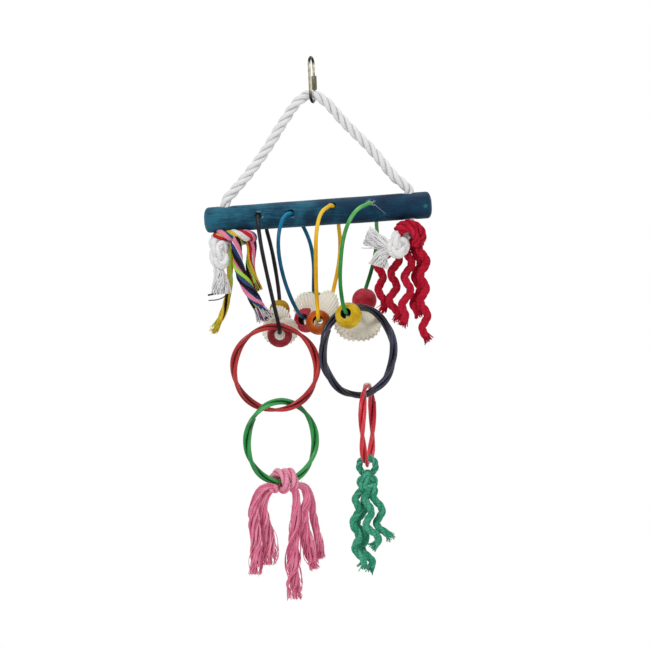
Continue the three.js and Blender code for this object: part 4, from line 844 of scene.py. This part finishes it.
TEAL_FOOT = np.array((43.01, -4.038, -310.388))
TEAL_BORE = 3.7
TEAL_LOOP_ROPE = 5.2
TEAL_KNOT_ROPE = 6.2
rng = np.random.default_rng(63)
ahead = along_ring(82)
sideways = np.array((ahead[1], -ahead[0], 0))
angle = np.linspace(0, 2 * np.pi, 70) - np.pi / 2
loop_radius = TEAL_BORE + TEAL_LOOP_ROPE / 2
loop = np.column_stack([loop_radius * np.cos(angle), loop_radius * np.sin(angle), np.zeros(70)])
knot = trefoil(4.1, 120) @ turned((0, 45, -30)).T - (0, 12, 0)
meshes = []
for flat, rope in ((loop, TEAL_LOOP_ROPE), (knot, TEAL_KNOT_ROPE)):
    line = TEAL_FOOT + np.outer(flat[:, 0], sideways) + np.outer(-flat[:, 2], ahead) + np.outer(
        flat[:, 1], (0, 0, 1))
    meshes += laid_rope(line, rope, lay=14, rng=rng) + fuzz(line, rope / 2, count=50, length=2, rng=rng)
cotton_piece("teal_knot", meshes, "teal", "teal_tassel")


# Cane loops and twisted cane rings

CANE_RADIUS = 1.5
for number, (colour, material) in enumerate(LOOP_CANES.items()):
    rng = np.random.default_rng(80 + number)
    line = route_line(CANE_LOOPS[f"{colour}_cane_loop"], 1.2)
    for _ in range(8):
        line[1:-1] = (line[:-2] + 2 * line[1:-1] + line[2:]) / 4
    radius = CANE_RADIUS * (1 + 0.025 * wander(len(line), 14, rng))[:, None]
    meshes = [roll(line, radius, 14, cap=1)]
    piece(f"{colour}_loop_cane", meshes, [material, CUT_CANE], "perch",
          [f"{colour}_cane_loop"])

RING_STRAND = 2.6
RING_GAP = 0.5
RING_CANE_RADIUS = 1.6
# Share by which a ring's cane is thinner at its top and foot, where rings hang in each other
RING_SLIM = 0.19
RING_SIDES = 16
RING_CUT = 1.4  # gap between the ends of a ring's cane
RING_SPRUNG = 7  # length at the end that springs off the ring
# Centre, turn, outside diameter, turns of the cane, phase and start of its twist, spring of its end
RINGS = {
    "red": ((-26.904, -25.528, -235.834), 5, 69, 2, -45, 257, 0),
    "green": ((-22.516, -25.144, -291.529), 33, 67, 2, -45, 503, 0.6),
    "navy": ((36.014, -9.121, -223.093), 36, 73, 3, 60, 509, 0.6),
    "crimson": ((43.01, -4.038, -278.738), 82, 66.5, 2, 45, 394, 1.8),
}
for number, (colour, ring) in enumerate(RINGS.items()):
    centre, turn, outside, turns, phase, start, spring = ring
    rng = np.random.default_rng(90 + number)
    spacing = math.sin(math.pi / turns)
    middle = outside / 2 - (RING_STRAND + RING_GAP) / (2 * spacing) - RING_STRAND / 2
    angle = math.radians(start) + np.linspace(0, 2 * np.pi * turns - RING_CUT / middle, 170 * turns)
    thick = RING_CANE_RADIUS * (1 - RING_SLIM * np.sin(angle) ** 4)
    offset = 0.97 * thick / spacing
    twist = angle * (2 + 1 / turns) + math.radians(phase)
    sprung = np.clip(1 - (angle[-1] - angle) * middle / RING_SPRUNG, 0, 1)
    reach = middle + offset * np.cos(twist) + spring * sprung**2
    flat = np.column_stack([reach * np.cos(angle), offset * np.sin(twist), reach * np.sin(angle)])
    core = np.column_stack([middle * np.cos(angle), np.zeros(len(angle)), middle * np.sin(angle)])
    line, core = (points @ turned((0, 0, turn)).T + centre for points in (flat, core))
    # Painted shade: a strand is darker where it lies against the next one
    inner = np.clip((0.1 - outward(line, core, RING_SIDES)) / 0.9, 0, 1)
    radius = (thick * (1 + 0.03 * wander(len(line), 16 * turns, rng)))[:, None]
    meshes = [roll(line, radius, RING_SIDES, cap=1, tint=EVEN_TINT + 0.06 - 0.32 * inner)]
    piece(f"{colour}_ring_cane", meshes, [RING_CANES[colour], CUT_CANE], f"{colour}_ring",
          [f"{colour}_cane_ring"])


# Carved pieces: the perch, the shells and the link's nut

def placed(bm, matrix):
    """Moves a bmesh made in mm to its place in metres."""
    bmesh.ops.transform(bm, matrix=Matrix.Scale(MM, 4) @ matrix, verts=bm.verts)
    return bm


def to_mesh(bm):
    mesh = bpy.data.meshes.new("shape")
    bm.to_mesh(mesh)
    bm.free()
    return mesh


def carve(obj, cutters):
    """Cuts shapes out of a piece and leaves it as a plain mesh."""
    tools = []
    for mesh in cutters:
        tool = bpy.data.objects.new("cutter", mesh)
        scene.collection.objects.link(tool)
        tools.append(tool)
        cut = obj.modifiers.new("cut", "BOOLEAN")
        cut.object = tool
        cut.operation = "DIFFERENCE"
        cut.solver = "EXACT"
    graph = bpy.context.evaluated_depsgraph_get()
    carved = bpy.data.meshes.new_from_object(obj.evaluated_get(graph), depsgraph=graph)
    obj.modifiers.clear()
    obj.data = carved
    for tool in tools:
        bpy.data.objects.remove(tool)


def drill(radius, length, sides=24):
    bm = bmesh.new()
    bmesh.ops.create_cone(bm, cap_ends=True, segments=sides, radius1=radius, radius2=radius, depth=length)
    return bm


def toward(direction, own=(0, 0, 1)):
    """The turn that takes a piece's own axis to a direction."""
    return Vector(own).rotation_difference(Vector(direction)).to_matrix().to_4x4()


def spun(profile, steps):
    """A closed round shape from a profile of radius and height, in mm."""
    bm = bmesh.new()
    verts = [bm.verts.new((radius, 0, height)) for radius, height in profile]
    edges = [bm.edges.new(pair) for pair in zip(verts, verts[1:] + verts[:1])]
    bmesh.ops.spin(bm, geom=verts + edges, cent=(0, 0, 0), axis=(0, 0, 1), angle=2 * math.pi, steps=steps,
                   use_merge=True)
    bmesh.ops.remove_doubles(bm, verts=bm.verts, dist=1e-4)
    bmesh.ops.recalc_face_normals(bm, faces=bm.faces)
    return bm


PERCH_CENTRE = Vector((5.3, 0, -117.3))
PERCH_LENGTH = 174
PERCH_DIAMETER = 20
PERCH_TAPER = 1.2
PERCH_SIDES = 72
WAVES_ROUND = 6  # uneven stretches round the perch
perch_axis = Vector((math.cos(PERCH_TILT), 0, math.sin(PERCH_TILT)))
rng = np.random.default_rng(100)
half = PERCH_LENGTH / 2
ends = np.array((0, 0.45, 1, 1.7, 2.3, 3.1, 4.2))
along = np.concatenate([-half + ends, np.arange(-half + 6, half - 5, 3), half - ends[::-1]])
thick = PERCH_DIAMETER / 2 + PERCH_TAPER / 2 * along / PERCH_LENGTH
rounding = np.array((6.5, 4, 2.4, 1.2, 0.55, 0.18, 0))
thick[:len(ends)] -= rounding
thick[-len(ends):] -= rounding[::-1]
uneven = np.column_stack([wander(len(along), 5, rng) for _ in range(WAVES_ROUND)])
around = np.arange(PERCH_SIDES) / PERCH_SIDES * WAVES_ROUND
low = np.floor(around).astype(int)
blend = around - low
bumps = uneven[:, low % WAVES_ROUND] * (1 - blend) + uneven[:, (low + 1) % WAVES_ROUND] * blend
perch_line = np.array(PERCH_CENTRE) + np.outer(along, perch_axis)
mesh = roll(perch_line, thick[:, None] + 0.09 * bumps, PERCH_SIDES)
perch = piece("perch_wood", [mesh], [PERCH_WOOD], "perch", ["perch_dowel"], sharp=35)
ROPE_HOLE_FROM_END = 17.2
ROPE_HOLE, ROPE_MOUTH = 4.35, 4.9  # radii, inside and where the hole opens out
MOUTH_DEPTH = 1.2
CANE_HOLE = 2.4  # radius
CUTTER = 40  # length of a cutter, well past what it cuts
CANE_DRILLS = {-43.5: 4.6, -18.6: 7, 13.3: 27, 42.7: 25}  # degrees of tilt at each place along the perch
CANE_HOLE_YAW = math.radians(12)
perch_up = Vector((-perch_axis.z, 0, perch_axis.x))
cutters = []
for side in (-1, 1):
    place = side * (half - ROPE_HOLE_FROM_END)
    reach = PERCH_DIAMETER / 2 + PERCH_TAPER / 2 * place / PERCH_LENGTH
    upper = [(ROPE_HOLE, reach - MOUTH_DEPTH), (ROPE_MOUTH, reach), (ROPE_MOUTH, CUTTER / 2), (0, CUTTER / 2)]
    profile = [(radius, -height) for radius, height in upper[::-1]] + upper
    matrix = Matrix.Translation(PERCH_CENTRE + perch_axis * place) @ toward(perch_up)
    cutters.append(to_mesh(placed(spun(profile, 32), matrix)))
for place, tilt in CANE_DRILLS.items():
    tilt = math.radians(tilt)
    direction = (perch_axis * math.sin(CANE_HOLE_YAW) * math.cos(tilt)
                 + Vector((0, math.cos(CANE_HOLE_YAW) * math.cos(tilt), 0)) - perch_up * math.sin(tilt))
    matrix = Matrix.Translation(PERCH_CENTRE + perch_axis * place) @ toward(direction)
    cutters.append(to_mesh(placed(drill(CANE_HOLE, CUTTER), matrix)))
carve(perch, cutters)

# Pale fibres where the drill broke out at the cane holes, and one long one at the right. How many there are
# at a place, and their reach
SPLINTERS = {
    (46.2, -11, -110.4): (30, 2.6), (15.4, -10.6, -111.6): (6, 1.6), (-40.4, -10.3, -116.9): (3, 1.2),
    (-37.7, -10.2, -121): (3, 1.2), (-14.2, -10.2, -121.3): (4, 1.2),
}
rng = np.random.default_rng(101)
fibres = [route_line([(47.4, -11.2, -110.8), (51, -11, -113.6), (57, -10.3, -118.6)], 0.6)]
for place, (count, reach) in SPLINTERS.items():
    for _ in range(count):
        start = np.array(place) + rng.normal(0, 0.4, 3) * reach * (1, 0.2, 0.5)
        tip = start + rng.normal(0, 0.6, 3) * reach * (1, 0.2, 0.5) + (0.3, -0.5, 0.3)
        bend = (start + tip) / 2 + rng.normal(0, 0.35, 3) * reach * (1, 0.3, 1)
        fibres.append(route_line([start, bend, tip], 0.5))
FIBRE_RADIUS = 0.17
meshes = [roll(line, FIBRE_RADIUS * np.linspace(1, 0.6, len(line))[:, None], 5) for line in fibres]
piece("hole_splinters", meshes, [TORN_FIBRE], "perch", [])

# Beads: turned balls with a wide bore, whose rims are rounded
# Wood, diameter, bore, centre, axis, and the degrees by which the front tips up on the cane
BEADS = {
    "red_front_bead": (RED_WOOD, 19, 8.2, (-23.703, -12.905, -210.65), (-0.0002, 0.9999, 0.0168), 0),
    "mustard_bead": (MUSTARD_WOOD, 15.5, 6.8, (-24.077, 19.514, -191.222), (-0.0284, 0.171, 0.9849), 0),
    "red_middle_bead": (LIT_RED_WOOD, 19, 8.2, (-3.665, 16.333, -199.467), (0.2636, 0.9642, -0.0286), -3),
    "green_bead": (GREEN_WOOD, 15.5, 6.8, (2.217, 38.852, -184.464), (-0.0078, 0.0904, 0.9959), 0),
    "orange_bead": (ORANGE_WOOD, 19, 8.2, (5.827, -12.579, -201.135), (0.0443, 0.9986, -0.0291), -5),
    "yellow_bead": (YELLOW_WOOD, 20, 8.2, (28.396, -30.891, -195.886), (0.2396, 0.9648, -0.1088), -5),
    "red_back_bead": (LIT_RED_WOOD, 19, 8.2, (40.914, 29.937, -184.049), (0.183, 0.1893, 0.9647), 0),
}
for name, (material, diameter, bore, centre, axis, tip) in BEADS.items():
    radius = diameter / 2
    start = math.asin(bore / diameter)
    angles = [start + (math.pi - 2 * start) * step / 20 for step in range(21)]
    profile = [(radius * math.sin(a), radius * math.cos(a)) for a in angles]
    bm = spun(profile, 48)
    rims = [edge for edge in bm.edges
            if all(abs(vert.co.xy.length - bore / 2) < 0.01 for vert in edge.verts)
            and abs(edge.verts[0].co.z - edge.verts[1].co.z) < 0.01]
    bmesh.ops.bevel(bm, geom=rims, offset=0.55, segments=3, profile=0.5, affect="EDGES", material=-1)
    # Faces inside the bore take the dark wood of painted shade
    for face in bm.faces:
        if all(vert.co.xy.length < bore / 2 + 0.05 for vert in face.verts):
            face.material_index = 1
    tipped = Matrix.Rotation(math.radians(tip), 4, "X")
    placed(bm, Matrix.Translation(centre) @ tipped @ toward(axis))
    piece(name + "_wood", [to_mesh(bm)], [material, SHADED_BORE_WOOD], name, [name])


# Shells: a fan of ribs, domed and thickened, with a drilled hole

SHELL_RIBS = 21
SHELL_WALL = 1.2
SHELL_HOLE = 4.8


def dome_height(row):
    return np.sin(np.pi * row**0.62) ** 0.85


def shell_mesh(width, length, depth, hole):
    """A cockle shell with its hole at the origin, its fan towards +Z and its round back towards -Y."""
    columns, rows = SHELL_RIBS * 6, 26
    bm = bmesh.new()
    bm.loops.layers.uv.new("UVMap")
    bmesh.ops.create_grid(bm, x_segments=columns, y_segments=rows, size=1, calc_uvs=True)
    flat = np.array([vert.co[:2] for vert in bm.verts])
    row = np.clip((flat[:, 1] + 1) / 2, 0, 1)
    angle = np.radians(86) * flat[:, 0]
    rib = np.cos(np.pi * SHELL_RIBS * flat[:, 0])
    edge = 1 + 0.024 * rib * np.clip((row - 0.85) / 0.15, 0, 1)
    reach = length * np.cos(angle) ** 0.55 * row * edge
    dome = depth * (dome_height(row) - dome_height(np.array(hole / length)))
    ribbed = 0.26 * rib * np.minimum(1, 1.6 * row)
    x = reach * np.sin(angle) * width / (length * 1.16)
    z = reach * np.cos(angle) - hole
    # Outside, painted shade darkens the shell between its ribs and towards its beak
    light = 0.38 + 0.12 * rib * row - 0.2 * np.clip(1 - row / 0.4, 0, 1)
    # Inside, a shell is smooth with painted shade in its depth and between its teeth, and a pale band of
    # teeth along its edge in painted light
    band = np.clip((row - 0.78) / 0.1, 0, 1)
    gap = (0.5 - 0.5 * rib) * band
    wall = SHELL_WALL + ribbed * (1 - band) - 0.6 * gap
    lining = 0.12 + 0.12 * row + 0.2 * band - 0.36 * gap
    layers = [bm.verts.layers.float.new(layer) for layer in ("tint", "lining", "wall")]
    for vert, *place, shade, inner, thick in zip(bm.verts, x, -dome - ribbed, z, light, lining, wall):
        vert.co = place
        for layer, value in zip(layers, (shade, inner, thick)):
            vert[layer] = value
    bmesh.ops.remove_doubles(bm, verts=bm.verts, dist=1e-3)
    whole = bmesh.ops.extrude_face_region(bm, geom=bm.faces[:], use_keep_orig=True)
    inside = [part for part in whole["geom"] if isinstance(part, bmesh.types.BMVert)]
    for vert in inside:
        vert[layers[0]] = vert[layers[1]]
        vert.co.y += vert[layers[2]]
    for layer in ("lining", "wall"):
        bm.verts.layers.float.remove(bm.verts.layers.float[layer])
    bmesh.ops.recalc_face_normals(bm, faces=bm.faces)
    return bm


# Width, length, depth and distance of the hole from the beak, then the hole's place and axis, the degrees by
# which the shell leans and its lower edge tips to the front, and whether its hollow side is in front
SHELLS = {
    "black_loop_shell_front": (
        (27, 23, 6.5, 11), (-23.704, -0.662, -208.238), (0, 0.9915, 0.1301), 184, 0, False),
    "black_loop_shell_back": (
        (18, 22, 5, 5.5), (-23.704, 8.718, -205.59), (0.0002, 0.9025, 0.4307), -8, 0, False),
    "blue_loop_shell": (
        (24, 25, 6.5, 5.5), (-0.334, 27.645, -197.38), (0.2947, 0.9351, 0.197), -29, 0, False),
    "yellow_loop_shell": (
        (20, 29, 6.5, 5.5), (6.805, -1.2, -199.567), (0.1699, 0.9852, 0.022), 19, 0, False),
    "green_loop_shell_front": (
        (32, 29, 7, 4.5), (36.317, 9.235, -194.888), (-0.2119, 0.976, -0.0502), 183, -20, True),
    "green_loop_shell_back": (
        (29, 26, 5.5, 4.5), (36.784, 12.6, -195.003), (-0.0686, 0.9975, -0.0192), 220, 0, False),
}
for name, (size, place, axis, lean, tip, hollow_front) in SHELLS.items():
    tipped = Matrix.Rotation(math.radians(tip), 4, "X")
    matrix = (Matrix.Translation(place) @ tipped @ toward(axis, (0, 1, 0))
              @ Matrix.Rotation(math.radians(lean), 4, "Y")
              @ Matrix.Rotation(math.pi if hollow_front else 0, 4, "Z"))
    mesh = to_mesh(placed(shell_mesh(*size), matrix))
    shell = piece(name + "_lime", [mesh], [SHELL_LIME], name, [name])
    hole = placed(drill(SHELL_HOLE / 2, CUTTER), matrix @ Matrix.Rotation(math.radians(90), 4, "X"))
    carve(shell, [to_mesh(hole)])


# Quick link and its sleeve nut

LINK_LEAN = -2.5  # degrees to the right at its foot
LINK_TURN = turned((0, LINK_LEAN, 74))
LINK_WIRE = 2.1
LINK_BEND = 6
LINK_TOP = -4.75
LINK_BOTTOM = -26.95
LINK_MOUTH = (-21.2, -15.2)


def half_turn(start, height):
    """The link's wire bent from an angle on, about a middle at a height."""
    angle = np.linspace(start, start + np.pi, 30)
    return np.column_stack([LINK_BEND * np.cos(angle), height + LINK_BEND * np.sin(angle)])


wire = np.concatenate([[(LINK_BEND, LINK_MOUTH[1])], half_turn(0, LINK_TOP),
                       half_turn(np.pi, LINK_BOTTOM), [(LINK_BEND, LINK_MOUTH[0])]])
wire = even(np.column_stack([wire[:, 0], np.zeros(len(wire)), wire[:, 1]]), 0.22)
threaded = (wire[:, 0] > LINK_BEND - 0.05) & (wire[:, 2] < LINK_TOP - 1.5) & (wire[:, 2] > LINK_BOTTOM + 0.8)
THREAD_PITCH = 0.8
thread = np.where(threaded, -0.12 + 0.1 * np.cos(2 * np.pi * wire[:, 2] / THREAD_PITCH), 0)
meshes = [roll(wire @ LINK_TURN.T, (LINK_WIRE / 2 + thread)[:, None], 16)]
piece("quick_link_wire", meshes, [NICKEL], "hanger", ["quick_link"])

NUT_LENGTH = 10.6
NUT_ACROSS_FLATS = 3.7
NUT_PLAY = 0.42  # between the wire and the nut's bore
bm = drill(NUT_ACROSS_FLATS / math.sqrt(3), NUT_LENGTH, 6)
bmesh.ops.bevel(bm, geom=bm.edges[:], offset=0.32, segments=3, profile=0.5, affect="EDGES", material=-1)
nut_place = Matrix(LINK_TURN).to_4x4() @ Matrix.Translation((LINK_BEND, 0, sum(LINK_MOUTH) / 2))
meshes = [to_mesh(placed(bm, nut_place))]
nut = piece("link_nut_steel", meshes, [NUT_NICKEL], "link_nut", ["link_nut"])
carve(nut, [to_mesh(placed(drill(LINK_WIRE / 2 + NUT_PLAY, 2 * NUT_LENGTH), nut_place))])


# Stage: a pale floor below the hanging toy, a white surround and soft lamps

def lamp(name, place, size, power):
    """A soft panel that faces the toy's middle."""
    light = bpy.data.lights.new(name, "AREA")
    light.size = size
    light.energy = power
    obj = bpy.data.objects.new(name, light)
    obj.location = place
    aim = Vector((VIEW_CENTRE[0], 0, VIEW_CENTRE[1])) - Vector(place)
    obj.rotation_euler = aim.to_track_quat("-Z", "Y").to_euler()
    scene.collection.objects.link(obj)


lamp("key_panel", (-0.9, -1.3, 0.9), 0.35, 11)
lamp("fill_panel", (1.3, -1.1, 0.2), 0.6, 4)
lamp("top_panel", (0.1, 0.2, 1.2), 0.6, 5)
lamp("back_panel", (0.3, 1.5, 0.4), 1.0, 2)

world = bpy.data.worlds.new("white_surround")
world.use_nodes = True
scene.world = world
tree = world.node_tree
path = add(tree, "LightPath")
seen = add(tree, "Math", {0: path["Is Camera Ray"], 1: path["Is Glossy Ray"]}, operation="MAXIMUM")[0]
seen = add(tree, "Math", {0: seen, 1: path["Is Transmission Ray"]}, operation="MAXIMUM")[0]
AMBIENT = 0.45
strength = add(tree, "MapRange", {"Value": seen, "To Min": AMBIENT, "To Max": 1.0})["Result"]
set_sockets(tree, tree.nodes["Background"], {"Color": (1, 1, 1, 1), "Strength": strength})

FLOOR_LEVEL = -0.55
bm = bmesh.new()
bmesh.ops.create_grid(bm, x_segments=1, y_segments=1, size=1.4,
                      matrix=Matrix.Translation((0, 0, FLOOR_LEVEL)))
floor = bpy.data.objects.new("floor", to_mesh(bm))
floor_paint = new_material("white_painted_floor")[0]
surface(floor_paint, {"Base Color": linear("#f4f4f4"), "Roughness": 0.9})
floor.data.materials.append(floor_paint)
scene.collection.objects.link(floor)
